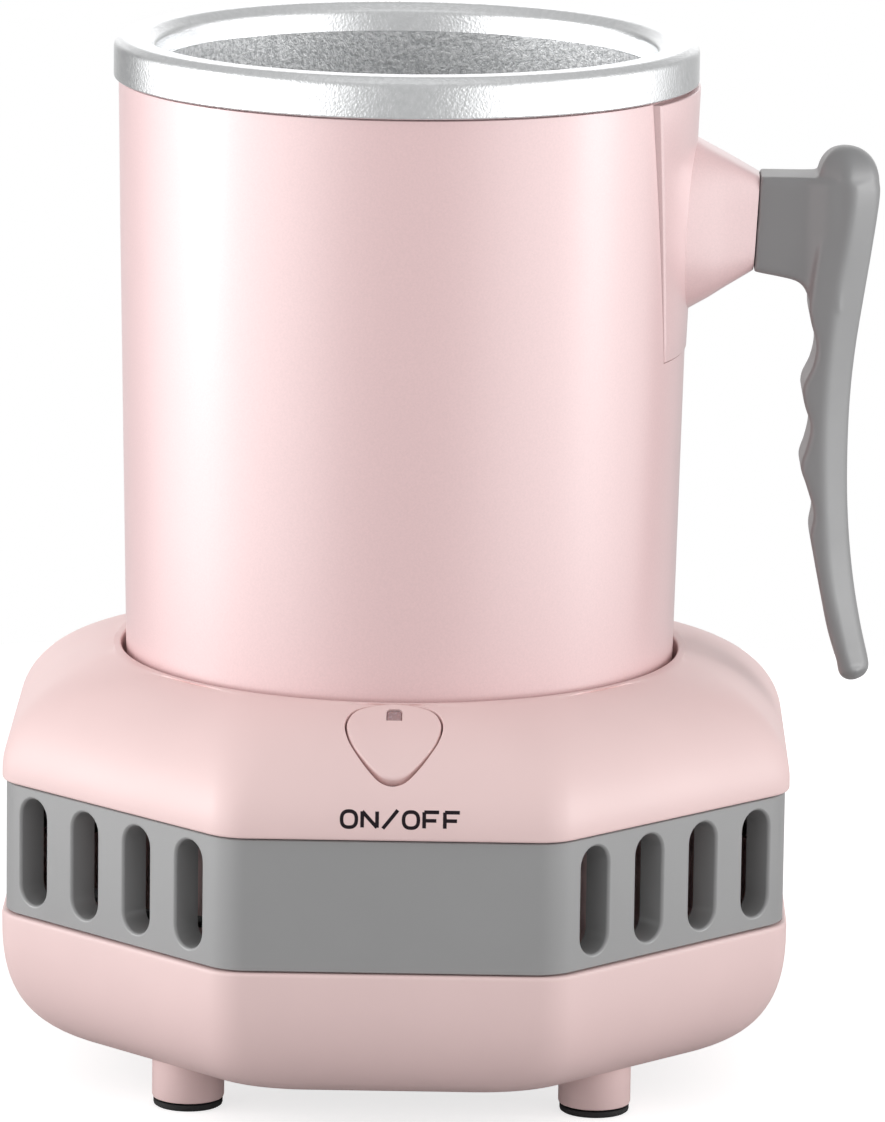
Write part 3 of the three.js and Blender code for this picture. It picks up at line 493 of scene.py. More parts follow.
def laid_ring(dome, outline, height, arch=0.0):
    """An outline laid on the dome and raised, with an arch that fades down the slope."""
    ring = []
    for u, v in outline:
        place, _ = dome.hit(at_button(u, v, 14), -BUTTON_OUT)
        rise = height + arch * max(0, 1 - v / 5) ** 1.5
        ring.append(tuple(place + BUTTON_OUT * rise))
    return ring


def flush_block(name, dome, levels, floor_w):
    """A block the shape of the button, from a level floor up to (grow, height above the dome) levels."""
    rings = [level_ring(shield(levels[0][0]), floor_w)]
    rings += [laid_ring(dome, shield(grow), height) for grow, height in levels]
    return loft(name, rings)


def top_shell():
    """Upper shell with the mug's well, the button's opening and the screw bosses. Gives its bare dome."""
    outside = dome_rings()
    solid_dome = loft("dome", outside[:-1] + [circle(WELL_R - 3, 75.2)])
    dome = Surface(solid_dome)
    drop(solid_dome)

    under = WELL_FLOOR_Z - WALL
    well_wall = WELL_R + WALL
    well = [circle(radius, z) for radius, z in (
        (WELL_R, WELL_FLOOR_Z + 1.0), (WELL_R - 0.3, WELL_FLOOR_Z + 0.3), (WELL_R - 1.0, WELL_FLOOR_Z),
        (WELL_HOLE_R + 0.4, WELL_FLOOR_Z), (WELL_HOLE_R, WELL_FLOOR_Z - 0.4), (WELL_HOLE_R, under),
        (well_wall, under), (well_wall, 72.4),
    )]
    inner = [crown(DOME, turn, WALL) for turn in (0.72, 0.6, 0.48, 0.36, 0.24, 0.12, 0)]
    inside = LIP_HALF - LIP_WALL
    end = BAND_Z1 - LIP_DEPTH
    foot = BAND_Z1 + JOINT_LINE
    lip = octagons([(inside, BAND_Z1 + 1.5), (inside, end), (LIP_HALF, end), (LIP_HALF, foot)])
    shell = loft("top_shell", outside + well + inner + lip, closed=True)
    bare = Surface(shell)

    guide = flush_block("guide", dome, [(1.5, -1.0)], -BUTTON_LEDGE - WALL)
    combine(guide, "DIFFERENCE", rod("keep", WELL_R + 0.6, 40, 90))
    combine(shell, "UNION", guide)
    for corner in CORNERS:
        combine(shell, "UNION", at_corner(rod("boss", 4.2, 30.3, 63, 32), corner))
    opening = flush_block("opening", dome, [(0, -0.3), (0.08, -0.08), (0.3, 0.1), (0.9, 8)], -BUTTON_LEDGE)
    through = loft("through", [level_ring(shield(-1.2), w) for w in (-9, 0)])
    keep = [(0, 40), (well_wall, 40), (well_wall, 75), (WELL_R, 75), (WELL_R, 76.2), (0, 76.2)]
    combine(through, "DIFFERENCE", turned("keep", keep))
    combine(shell, "DIFFERENCE", opening, through)
    bare.restore(shell)
    finish(shell, "casing_pink", "base", "base_top_shell")
    return dome


def bottom_shell():
    """Lower shell with four foot posts and the fan's intake slots."""
    steps = 24
    outer = [crown(BOWL, i / steps) for i in range(steps, -1, -1)]
    half = SHELL_HALF - INK
    brim = octagons((half - SHELL_EDGE * (1 - c), BAND_Z0 - SHELL_EDGE * (1 - s)) for s, c in quarter(4))
    inside = LIP_HALF - LIP_WALL
    end = BAND_Z0 + LIP_DEPTH
    ledge = octagons([
        (LIP_HALF, BAND_Z0), (LIP_HALF, end), (inside, end), (inside, BAND_Z0 - 2.5),
        (SHELL_HALF - WALL, BAND_Z0 - 3),
    ])
    inner = [crown(BOWL, turn, WALL) for turn in (0, 0.2, 0.4, 0.6, 0.8, 0.95)]
    piece = loft("bottom_shell", outer + brim + ledge + inner)
    bare = Surface(piece)
    low = PAD_H + JOINT_LINE
    post = [
        (0, 29.7), (5, 29.7), (5, 11), (FOOT_R, 11), (FOOT_R, low + 0.5), (FOOT_R - 0.15, low + 0.15),
        (FOOT_R - 0.5, low), (0, low),
    ]
    bore = [(0, -1), (3.4, -1), (3.4, 25), (1.8, 25), (1.8, 40), (0, 40)]
    for corner in CORNERS:
        combine(piece, "UNION", at_corner(turned("post", post, 64), corner))
        combine(piece, "DIFFERENCE", at_corner(turned("bore", bore, 32), corner))
    for i in range(INTAKE["count"]):
        x = (i - INTAKE["count"] // 2) * INTAKE["pitch"]
        low_x, high_x = x - INTAKE["half"], x + INTAKE["half"]
        end = sqrt(INTAKE["reach"] ** 2 - x ** 2)
        outline = rounded([(low_x, -end, 1.6), (high_x, -end, 1.6), (high_x, end, 1.6), (low_x, end, 1.6)])
        combine(piece, "DIFFERENCE", loft("intake", [[(a, b, z) for a, b in outline] for z in (4.0, 12.4)]))
    bare.restore(piece)
    finish(piece, "casing_pink", "base", "base_bottom_shell")


def slot_block(name, face, along, levels):
    """A stadium block through one flat of the band: each level is (grow, distance from the mug's axis)."""
    angle = radians(face)
    out = Vector((cos(angle), sin(angle), 0))
    across = Vector((-sin(angle), cos(angle), 0))
    rings = []
    for grow, distance in levels:
        ring = []
        for a, b in stadium(VENT_W + 2 * grow, VENT_H + 2 * grow):
            ring.append(tuple(out * distance + across * (along + a) + Vector((0, 0, VENT_Z + b))))
        rings.append(ring)
    return loft(name, rings)


def vent_places():
    """Face angle and place along the face of every vent slot."""
    for face in VENT_FACES:
        towards_side = 1 if sin(radians(2 * face)) < 0 else -1
        for i in range(VENT_COUNT):
            yield face, (i - (VENT_COUNT - 1) / 2) * VENT_PITCH + towards_side * VENT_SHIFT


def vent_band():
    """Band between the shells, with a collared slot at each vent and the inlet's hole at the back."""
    inside = BAND_HALF - WALL
    low = BAND_Z0 + JOINT_LINE
    soft = 0.15
    rings = octagons([
        (inside, low), (BAND_HALF - soft, low), (BAND_HALF, low + soft),
        (BAND_HALF, BAND_Z1 - soft), (BAND_HALF - soft, BAND_Z1), (inside, BAND_Z1),
    ])
    band = loft("band", rings, closed=True)
    bare = Surface(band)
    collar = [(VENT_COLLAR, BAND_HALF - VENT_DEPTH), (VENT_COLLAR, BAND_HALF - 1)]
    slot = [(0, BAND_HALF - VENT_DEPTH - 3)]
    slot += [(VENT_FILLET * (1 - c), BAND_HALF - VENT_FILLET + VENT_FILLET * s) for s, c in quarter(6)]
    slot.append((VENT_FILLET, BAND_HALF + 4))
    for face, along in vent_places():
        combine(band, "UNION", slot_block("collar", face, along, collar))
    for face, along in vent_places():
        combine(band, "DIFFERENCE", slot_block("slot", face, along, slot))
    hole = rod("hole", 4.5, -12, 12, 48)
    hole.data.transform(inlet_place(BAND_HALF))
    combine(band, "DIFFERENCE", hole)
    bare.restore(band)
    finish(band, "band_grey", "base", "vent_band")


def inlet_place(y):
    """From a piece turned about the mug's axis to one about the inlet's axis, which runs along Y."""
    to_origin = Matrix.Translation((-AXIS_X, 0, 0))
    turn = Matrix.Rotation(-pi / 2, 4, "X")
    return Matrix.Translation((AXIS_X, y * MM, VENT_Z * MM)) @ turn @ to_origin


def inlet():
    """Barrel socket at the back, with its pin."""
    profile = [(0, 0), (4.1, 0), (4.1, 13.7), (3.95, 14.2), (3.6, 14.4), (3.1, 14.4), (2.9, 14.1), (2.9, 4.5)]
    profile += [(1, 4.5), (1, 12.2), (0.8, 12.8), (0.4, 13), (0, 13)]
    piece = turned("inlet", profile, 64)
    piece.data.transform(inlet_place(BAND_HALF - 14.4))
    shade(piece)
    finish(piece, "dark_plastic", "base", "dc_jack")


def foot_pads():
    """Four rubber pads with a ribbed underside."""
    outer = FOOT_R - 0.25
    profile = [(0, PAD_H), (outer, PAD_H), (outer, 0.5), (outer - 0.1, 0.2), (outer - 0.4, 0)]
    for radius in (4.6, 3.4, 2.2):
        profile += [(radius + 0.25, 0), (radius + 0.1, 0.25), (radius - 0.1, 0.25), (radius - 0.25, 0)]
    profile.append((0, 0))
    for i, corner in enumerate(CORNERS):
        piece = at_corner(turned(f"pad_{i + 1}", profile, 64), corner)
        shade(piece)
        finish(piece, "pad_rubber", "base", f"foot_pad_{i + 1}")


# ---- button and label ----

WINDOW = {"half": 1.3, "v0": 2.2, "v1": 5.5}


def window_outline(grow):
    """Window in the cap: square below, rounded above."""
    half = WINDOW["half"] + grow
    low = WINDOW["v1"] + grow
    high = WINDOW["v0"] - grow
    return rounded([(-half, high, 0.8), (half, high, 0.8), (half, low, 0.15), (-half, low, 0.15)])


def button(dome):
    """Shield-shaped cap with a soft edge, flush with the dome, and its window."""
    edge = -BUTTON_GAP
    levels = [(edge - CAP_EDGE * (1 - c), CAP_EDGE * s - CAP_EDGE) for s, c in quarter(6)]
    outlines = [(shield(grow, CAP_SLACK), height) for grow, height in levels]
    inner = outlines[-1][0]
    centre = Vector(SHIELD_CENTRE)
    for shrink in (0.85, 0.7, 0.55, 0.4, 0.25, 0.1):
        outlines.append(([tuple(centre + (Vector(p) - centre) * shrink) for p in inner], 0))
    rings = [level_ring(outlines[0][0], 0.75 - BUTTON_LEDGE)]
    rings += [laid_ring(dome, outline, height, CAP_ARCH) for outline, height in outlines]
    cap = loft("power_button", rings)
    bare = Surface(cap)
    combine(cap, "DIFFERENCE", rod("keep", WELL_R + 0.4, 40, 90))
    combine(cap, "DIFFERENCE", loft("hole", [level_ring(window_outline(0.06), w) for w in (-6, 12)]))
    stem = round_outline(1.5, 24, (0, 14.2))
    combine(cap, "UNION", loft("stem", [level_ring(stem, w) for w in (-3.2, 0)]))
    bare.restore(cap)
    finish(cap, "casing_pink", "button", "button_cap")

    rings = [level_ring(window_outline(0), -1.5)]
    for grow, height in ((0, -0.25), (-0.08, -0.12), (-0.3, -0.08), (-0.7, -0.06), (-1.1, -0.06)):
        rings.append(laid_ring(dome, window_outline(grow), height))
    window = shade(loft("status_window", rings), 40)
    finish(window, "lens", "button", "led_window")


# centre lines in a unit cell: a line of two points is open, and a longer one is closed
GLYPHS = {
    "O": [[(0.5 + 0.5 * a, 0.5 + 0.5 * b) for a, b in superellipse(2.5, 28)]],
    "N": [[(0, 0), (0, 1)], [(0, 1), (1, 0)], [(1, 0), (1, 1)]],
    "F": [[(0, 0), (0, 1)], [(0, 1), (1, 1)], [(0, 0.48), (0.82, 0.48)]],
    "/": [[(0, -0.05), (1, 1.1)]],
}
LETTER = {"width": 2.55, "height": 2.75, "pitch": 3.55, "stroke": 0.33}
LABEL_X = -8.65
LABEL_Z = 58.8


def ink_stroke(corners):
    """One stroke as a round bar, (x, height above the surface, z), to be flattened onto the shell."""
    curve = bpy.data.curves.new("stroke", "CURVE")
    curve.dimensions = "3D"
    curve.bevel_depth = LETTER["stroke"]
    curve.bevel_resolution = 3
    curve.use_fill_caps = True
    closed = len(corners) > 2
    dense = corners
    if not closed:
        (x0, z0), (x1, z1) = corners
        dense = [(x0 + (x1 - x0) * i / 6, z0 + (z1 - z0) * i / 6) for i in range(6)] + corners[1:]
    line = curve.splines.new("POLY")
    line.points.add(len(dense) - 1)
    for point, (x, z) in zip(line.points, dense):
        point.co = (x, 0, z, 1)
    line.use_cyclic_u = closed
    holder = in_scene("stroke", curve)
    mesh = evaluated(holder)
    points = [v.co.copy() for v in mesh.vertices]
    faces = [tuple(face.vertices) for face in mesh.polygons]
    bpy.data.objects.remove(holder)
    bpy.data.curves.remove(curve)
    bpy.data.meshes.remove(mesh)
    return points, faces


def label(dome):
    """Generic on/off marking printed on the front of the upper shell."""
    points = []
    faces = []
    for place, letter in enumerate("ON/OFF"):
        left = LABEL_X + place * LETTER["pitch"]
        for line in GLYPHS[letter]:
            corners = [(left + x * LETTER["width"], LABEL_Z + z * LETTER["height"]) for x, z in line]
            bar, skin = ink_stroke(corners)
            first = len(points)
            for x, depth, z in bar:
                spot, normal = dome.hit((x, -90, z), (0, 1, 0))
                points.append(tuple(spot + normal * (-depth / LETTER["stroke"]) * INK))
            faces += [tuple(first + v for v in face) for face in skin]
    piece = shade(mesh_object("power_label", points, faces), 60)
    outward(piece)
    piece.data.materials.append(label_ink())
    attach(piece, "base")


# ---- mug ----


def mug_radius(z):
    return 49.22 + 0.0196 * (z - 82.3)


def saddle_half(z):
    """Half width of the bracket's plate at a height."""
    t = (z - SADDLE_Z0) / (SADDLE_Z1 - SADDLE_Z0)
    return SADDLE_HALF_Z0 + (SADDLE_HALF_Z1 - SADDLE_HALF_Z0) * t


def arc(radius, start, end, z, steps=40):
    """Level arc about the mug's axis."""
    turns = [start + (end - start) * i / steps for i in range(steps + 1)]
    return [(radius * cos(turn), radius * sin(turn), z) for turn in turns]


def plate_ring(z, inner, outer, margin, soft):
    """Section of the bracket's plate at one height: an arc of the mug's wall between two offsets."""
    half = saddle_half(z) + margin
    r_in = mug_radius(z) + inner
    r_out = mug_radius(z) + outer
    edge_in = asin(half / r_in)
    edge_out = asin((half - soft) / r_out)
    shrink = cos(asin(half / (r_out - soft)))
    rim = [((r_out - soft * 0.3) * shrink, half - soft * 0.3), ((r_out - soft) * shrink, half)]
    ring = arc(r_out, -edge_out, edge_out, z)
    ring += [(x, y, z) for x, y in rim]
    ring += arc(r_in, edge_in, -edge_in, z)
    ring += [(x, -y, z) for x, y in reversed(rim)]
    return ring


def mug_shell():
    """Outer wall of the mug, recessed for the bracket's plate."""
    middle_z = MUG_Z0 + MUG_CORNER
    middle_r = mug_radius(middle_z) - MUG_CORNER
    inner = MUG_CORNER - MUG_WALL
    top_r = mug_radius(MUG_Z1)
    profile = [(MUG_HOLE_R, MUG_Z0)]
    profile += [(middle_r + MUG_CORNER * s, middle_z - MUG_CORNER * c) for s, c in quarter(12)]
    for t in (0.25, 0.5, 0.75):
        z = middle_z + (MUG_Z1 - middle_z) * t
        profile.append((mug_radius(z), z))
    profile += [(top_r - 0.1, MUG_Z1 - 0.1), (top_r - 0.4, MUG_Z1), (top_r - MUG_WALL, MUG_Z1)]
    profile += [(middle_r + inner * s, middle_z - inner * c) for s, c in reversed(quarter(12))]
    profile.append((MUG_HOLE_R, MUG_Z0 + MUG_WALL))
    shell = turned("mug_wall", profile, 240)
    bare = Surface(shell)
    gap = 0.12
    rings = [plate_ring(z, -RECESS, 4, gap, 0.01) for z in (SADDLE_Z0 - gap, 145, 160, MUG_Z1 + 2)]
    combine(shell, "DIFFERENCE", loft("recess", rings))
    drill(shell)
    bare.restore(shell)
    finish(shell, "mug_pink", "mug", "mug_shell")


def drill(piece):
    """The handle screws' two bores, along X through the mug's wall, the bracket and the grip."""
    for middle in HANDLE_SCREW_Z:
        outline = round_outline(HANDLE_BORE_R, 32, (0, middle))
        combine(piece, "DIFFERENCE", loft("bore", [[(x, y, z) for y, z in outline] for x in (38, 70.5)]))


def mug_liner():
    """Inner cup: floor, fillet, wall and the flange under the rim ring."""
    outer = LINER_R + 1.5
    under = MUG_Z0 + MUG_WALL + 0.3
    profile = [
        (0, LINER_FOOT_Z), (LINER_FOOT_R, LINER_FOOT_Z), (LINER_FOOT_R, under), (39, under), (42.6, 70.2),
        (outer, 73.5), (outer, FLANGE_Z0), (FLANGE_R, FLANGE_Z0), (FLANGE_R, FLANGE_Z1), (LINER_R, FLANGE_Z1),
    ]
    profile += [(LINER_R, z) for z in (150, 120, 95)]
    for s, c in quarter(8):
        profile.append((LINER_R - LINER_FILLET * (1 - c), LINER_FLOOR_Z + LINER_FILLET * (1 - s)))
    profile.append((0, LINER_FLOOR_Z))
    piece = shade(turned("inner_cup", profile, 192))
    finish(piece, "frosted_aluminium", "mug", "mug_liner")


def rim_ring():
    """Rolled rim: upright outside, soft shoulder, domed top and a lip turned into the cup."""
    profile = rounded([
        (51.9, 178.9, 0.4), (51.9, 184.9, 1.6), (50.3, 186.1, 1.3), (46.6, 186.1, 1.8), (44.5, 184.6, 1.6),
        (43.75, 181.14, 0), (44.9, 181.14, 0), (44.9, 182.4, 0), (47.5, 182.4, 0), (47.5, 175, 0),
        (48.3, 175, 0), (48.3, 178.9, 0),
    ], 8)
    piece = shade(turned("rolled_rim", profile, 240), 35)
    finish(piece, "polished_aluminium", "mug", "rim_ring")


# ---- handle ----

# the neck's sections: distance from the mug's axis, bottom, top, half depth and squareness
NECK = [
    (46.0, 135.8, 172.0, 13.5, 2.5),
    (49.5, 137.9, 170.1, 12.0, 2.7),
    (51.8, 139.3, 168.8, 10.9, 3.0),
    (54.2, 140.7, 167.4, 9.7, 3.4),
    (57.2, 142.6, 165.7, 8.2, 4.0),
    (JOINT_X, 145.7, 162.7, 6.0, 5.0),
]


def neck_ring(x, low, high, half_depth, power, slant):
    """Rounded-box section of the neck at one distance from the mug."""
    middle = (low + high) / 2
    half = (high - low) / 2
    ring = []
    for a, b in superellipse(power, 96):
        z = middle + half * b
        ring.append((x + slant * (z - JOINT_Z), half_depth * a, z))
    return ring


def bracket():
    """Saddle plate with a flared neck, one moulding."""
    rise = SADDLE_Z1 - SADDLE_Z0
    heights = [SADDLE_Z0, SADDLE_Z0 + 0.1, SADDLE_Z0 + 0.3]
    heights += [SADDLE_Z0 + rise * i / 12 for i in range(1, 12)]
    heights += [SADDLE_Z1 - 0.3, SADDLE_Z1 - 0.1, SADDLE_Z1]
    rings = []
    for i, z in enumerate(heights):
        from_end = min(i, len(heights) - 1 - i)
        proud = 0.25 + 0.85 * (z - SADDLE_Z0) / rise - (0.3, 0.08, 0)[min(from_end, 2)]
        rings.append(plate_ring(z, 0.12 - RECESS, proud, 0, 0.25))
    plate = loft("handle_mount", rings)
    sections = smooth(NECK, 6)
    last = len(sections) - 1
    neck = loft("neck", [neck_ring(*s, JOINT_SLANT * (i / last) ** 4) for i, s in enumerate(sections)])
    low, high = 110, 190
    inside = [(0, low), (mug_radius(low) - 0.5, low), (mug_radius(high) - 0.5, high), (0, high)]
    combine(neck, "DIFFERENCE", turned("inside", inside, 240))
    combine(plate, "UNION", neck)
    drill(plate)
    shade(plate, 24)
    finish(plate, "mug_pink", "mug", "handle_bracket")


# the bar's outlines and the crease between its flat and its slanted side, as (x, z)
FINGER_SIDE = [
    (72.0, 140.5), (72.4, 137), (73.4, 133), (72.8, 129), (71.2, 125.3), (71.6, 122), (72.7, 118.4),
    (72.1, 114.5), (71.1, 111), (72.2, 107.5), (73.6, 102.5), (73.1, 98.6), (73.8, 94.5), (75.1, 88),
    (76.5, 81), (78.4, 74.6),
]
PALM_SIDE = [
    (84.4, 74.4), (82.8, 81), (81.2, 89.5), (80.1, 99), (79.6, 109), (79.7, 121), (80.5, 131.5),
    (82.2, 143.7), (84.4, 158.5),
]
CREASE = [
    (79.2, 158), (78.5, 150.8), (77.3, 143.6), (76.4, 136.4), (75.5, 125.5), (75.2, 115), (75.6, 104),
    (76.6, 92), (79.6, 76),
]
KNOB = {"x": 78.1, "z": 161.6, "r": 6.3}
TIP = {"x": 81.4, "z": 74.3, "r": 3.0}


def grip_section(finger, palm, crease, half_depth, z, round_share):
    """Level section of the grip: flat sides as far as the crease, then slanting in to a round palm edge."""
    palm_half = half_depth * 0.5
    side = [(finger, -half_depth, 1.1), (crease, -half_depth, 3.0), (palm, -palm_half, 2.4)]
    corners = side + [(a, -b, r) for a, b, r in reversed(side)]
    outline = rounded(corners, 8)
    middle = (finger + palm) / 2
    half = (palm - finger) / 2
    ring = []
    for x, y in outline:
        angle = atan2(y / half_depth, (x - middle) / half)
        ball = Vector((middle + half * cos(angle), half_depth * sin(angle)))
        point = Vector((x, y)).lerp(ball, round_share)
        ring.append((point.x, point.y, z))
    return ring


def ball_ring(end, s, c, way, depth, share):
    """Ring of one of the bar's round ends, at one step of its quarter turn."""
    reach = end["r"] * c
    z = end["z"] + way * end["r"] * s
    return grip_section(end["x"] - reach, end["x"] + reach, end["x"], depth, z, share)


def grip():
    """Pistol grip: a scalloped bar with a ball end above, and a stub that meets the bracket."""
    finger_side = smooth([(KNOB["x"] - KNOB["r"], KNOB["z"]), (73.3, 156), (72.9, 149)] + FINGER_SIDE, 10)
    palm_side = smooth(PALM_SIDE + [(KNOB["x"] + KNOB["r"], KNOB["z"])], 10)
    crease_side = smooth(CREASE, 8)
    half_depth = GRIP_DEPTH / 2
    ends = quarter(12, 1)[:-1]
    rings = [ball_ring(TIP, s, c, -1, half_depth * 0.86 * (0.25 + 0.75 * c), 0.35) for s, c in reversed(ends)]
    count = 84
    for i in range(count + 1):
        z = TIP["z"] + (KNOB["z"] - TIP["z"]) * i / count
        near_tip = max(0, 1 - (z - TIP["z"]) / 14)
        near_knob = min(1, max(0, (z - 146) / (KNOB["z"] - 146)))
        finger = at_height(finger_side, z)
        palm = at_height(palm_side, z)
        crease = min(max(at_height(crease_side, z), finger + 1.8), palm - 2.2)
        depth = half_depth * (1 - 0.14 * near_tip ** 2)
        share = max(0.35 * near_tip, 0.85 * near_knob ** 1.5)
        rings.append(grip_section(finger, palm, crease, depth, z, share))
    rings += [ball_ring(KNOB, s, c, 1, half_depth * c, 0.9) for s, c in ends]
    bar = loft("pistol_grip", rings)
    combine(bar, "UNION", stub())
    drill(bar)
    modify(bar, "REMESH", mode="VOXEL", voxel_size=0.36 * MM)
    modify(bar, "SMOOTH", factor=0.5, iterations=8)
    shade(bar, 60)
    finish(bar, "grip_grey", "mug", "handle_grip")


def stub():
    """Short rounded box from the parting face into the bar, flaring down into the grip."""
    gap = 0.14
    high = 162.75
    sections = [  # distance from the mug's axis, bottom, half depth
        (JOINT_X + gap, 145.7, 5.95), (64, 145.4, 6.0), (67, 144.8, 6.0), (69.4, 144.2, 6.0),
        (70.8, 143.3, 6.05), (71.7, 141.6, 6.2), (72.3, 139.5, 6.4), (73.4, 138.5, 6.8), (75.2, 138.5, 7.3),
        (77.5, 138.5, 7.3),
    ]
    rings = []
    for x, low, half in smooth(sections, 3):
        slant = JOINT_SLANT * max(0, 1 - (x - JOINT_X) / 5)
        outline = rounded([(-half, low, 1.3), (half, low, 1.3), (half, high, 1.5), (-half, high, 1.5)])
        rings.append([(x + slant * (z - JOINT_Z), y, z) for y, z in outline])
    return loft("stub", rings)


# ---- materials ----


def wire(tree, node, sockets):
    """Sets a node's sockets, and links those whose value is another node's output."""
    for key, value in sockets.items():
        if isinstance(value, bpy.types.NodeSocket):
            tree.links.new(value, node.inputs[key])
        else:
            node.inputs[key].default_value = value
    return node


class Finish:
    """A Principled material: plain sockets are set on it, and patterns are linked to it."""

    def __init__(self, name, **plain):
        self.material = bpy.data.materials.new(name)
        self.material.use_nodes = True
        self.tree = self.material.node_tree
        self.shader = self.tree.nodes["Principled BSDF"]
        self.feed({socket.replace("_", " "): value for socket, value in plain.items()})
        self.place = self.node("ShaderNodeTexCoord", "Object", {})

    def feed(self, sockets):
        wire(self.tree, self.shader, sockets)

    def node(self, kind, output, sockets):
        return wire(self.tree, self.tree.nodes.new(kind), sockets).outputs[output]

    def noise(self, scale, detail=2.0, rough=0.5, stretch=None):
        place = self.place
        if stretch is not None:
            place = self.node("ShaderNodeMapping", "Vector", {"Scale": stretch, "Vector": place})
        sockets = {"Scale": scale, "Detail": detail, "Roughness": rough, "Vector": place}
        return self.node("ShaderNodeTexNoise", "Fac", sockets)

    def grains(self, scale):
        return self.node("ShaderNodeTexVoronoi", "Distance", {"Scale": scale, "Vector": self.place})

    def waves(self, scale, kind, direction, distortion):
        node = self.tree.nodes.new("ShaderNodeTexWave")
        node.wave_type = kind
        if kind == "BANDS":
            node.bands_direction = direction
        else:
            node.rings_direction = direction
        wire(self.tree, node, {"Scale": scale, "Distortion": distortion, "Vector": self.place})
        return node.outputs["Fac"]

    def spread(self, pattern, low, high, start=0.3, end=0.7):
        """Maps a pattern to a range of values."""
        limits = {"From Min": start, "From Max": end, "To Min": low, "To Max": high}
        return self.node("ShaderNodeMapRange", "Result", {"Value": pattern, **limits})

    def colours(self, pattern, low, high, start=0.3, end=0.7):
        """Maps a pattern to the colours between two."""
        node = self.tree.nodes.new("ShaderNodeValToRGB")
        for stop, position, colour in zip(node.color_ramp.elements, (start, end), (low, high)):
            stop.position = position
            stop.color = (*colour, 1)
        wire(self.tree, node, {"Fac": pattern})
        return node.outputs["Color"]

    def dress(self, colour, roughness, *bumps):
        """Takes what colours() and spread() take, then bumps as (pattern, strength, depth in metres)."""
        self.feed({"Base Color": self.colours(*colour), "Roughness": self.spread(*roughness)})
        below = {}
        for pattern, strength, depth in bumps:
            sockets = {"Height": pattern, "Strength": strength, "Distance": depth, **below}
            below = {"Normal": self.node("ShaderNodeBump", "Normal", sockets)}
        self.feed(below)
        return self.material


def shades(colour, amount):
    """The colour a little darker and a little lighter."""
    return [c * (1 - amount) for c in colour], [min(1, c * (1 + amount)) for c in colour]


def moulded(name, colour, roughness, grain, depth, variation, gloss):
    """Moulded plastic: faint flow marks in colour and gloss, and a fine spark-eroded grain."""
    made = Finish(name, **gloss)
    return made.dress(
        (made.noise(35, 3), *shades(colour, variation)),
        (made.noise(140, 4), roughness - 0.03, roughness + 0.04),
        (made.noise(60, 2), 0.05, 0.0003), (made.noise(grain, 2, 0.6), 0.18, depth),
    )


def mug_pink(name):
    """Pearl lacquer: fine flakes under a clear satin coat."""
    made = Finish(name, Coat_Weight=1.0, Coat_Roughness=0.34, Coat_IOR=1.95)
    return made.dress(
        (made.noise(2600, 2, 0.7), *shades(MUG, 0.035)),
        (made.noise(180, 3), 0.36, 0.42),
        (made.noise(45, 2), 0.04, 0.0003), (made.grains(5200), 0.10, 0.00002),
    )


def polished_aluminium(name):
    """Turned and polished, with blasting pits that show where it mirrors an edge of light."""
    made = Finish(name, Metallic=1.0)
    turning = made.noise(1, 3, stretch=(60, 60, 5200))
    return made.dress(
        (made.noise(900, 3), (0.86, 0.87, 0.88), (0.93, 0.94, 0.95)),
        (made.noise(1500, 3), 0.16, 0.26),
        (turning, 0.15, 0.00003), (made.noise(2100, 2, 0.6), 0.8, 0.00010),
    )


def frosted_aluminium(name):
    """Bead-blasted: a coarse speckle of pits."""
    made = Finish(name, Metallic=1.0)
    speckle = made.noise(1300, 4, 0.75)
    colour = (speckle, (0.58, 0.59, 0.60), (0.97, 0.975, 0.98), 0.38, 0.62)
    return made.dress(colour, (speckle, 0.58, 0.44), (speckle, 0.9, 0.00028))


def machined_aluminium(name):
    """Faced on a lathe: fine rings about the mug's axis."""
    made = Finish(name, Metallic=1.0)
    return made.dress(
        (made.noise(300, 3), (0.74, 0.75, 0.77), (0.84, 0.85, 0.86)),
        (made.noise(800, 2), 0.24, 0.36),
        (made.waves(900, "RINGS", "Z", 0.4), 0.25, 0.00004), (made.noise(2500, 2), 0.1, 0.00002),
    )


def cast_aluminium(name):
    """Die-cast and anodised dark."""
    made = Finish(name, Metallic=0.8)
    return made.dress(
        (made.noise(700, 4), (0.05, 0.05, 0.055), (0.09, 0.09, 0.095)),
        (made.noise(1500, 3), 0.45, 0.6),
        (made.noise(1900, 4, 0.6), 0.4, 0.00006),
    )


def plated_metal(name, low, high, roughness):
    made = Finish(name, Metallic=1.0)
    return made.dress(
        (made.noise(600, 3), low, high),
        (made.noise(1400, 3), roughness - 0.06, roughness + 0.08),
        (made.waves(2600, "BANDS", "Z", 0.5), 0.12, 0.00002), (made.noise(3000, 2), 0.15, 0.00002),
    )


def winding_copper(name):
    made = Finish(name, Metallic=0.9, Coat_Weight=0.5, Coat_Roughness=0.1)
    turns = made.waves(1100, "BANDS", "DIAGONAL", 0.3)
    colour = (turns, (0.32, 0.10, 0.03), (0.72, 0.30, 0.12), 0.2, 0.8)
    return made.dress(colour, (turns, 0.4, 0.25), (turns, 0.8, 0.00015))


def soft_matter(name, colour, roughness, pores, depth, variation=0.08):
    """Rubber, foam and ceramic: no gloss, an open grain."""
    made = Finish(name)
    return made.dress(
        (made.noise(pores * 0.4, 3), *shades(colour, variation)),
        (made.noise(pores, 3), roughness - 0.06, min(1, roughness + 0.06)),
        (made.grains(pores), 0.5, depth), (made.noise(pores * 2, 3), 0.3, depth * 0.5),
    )


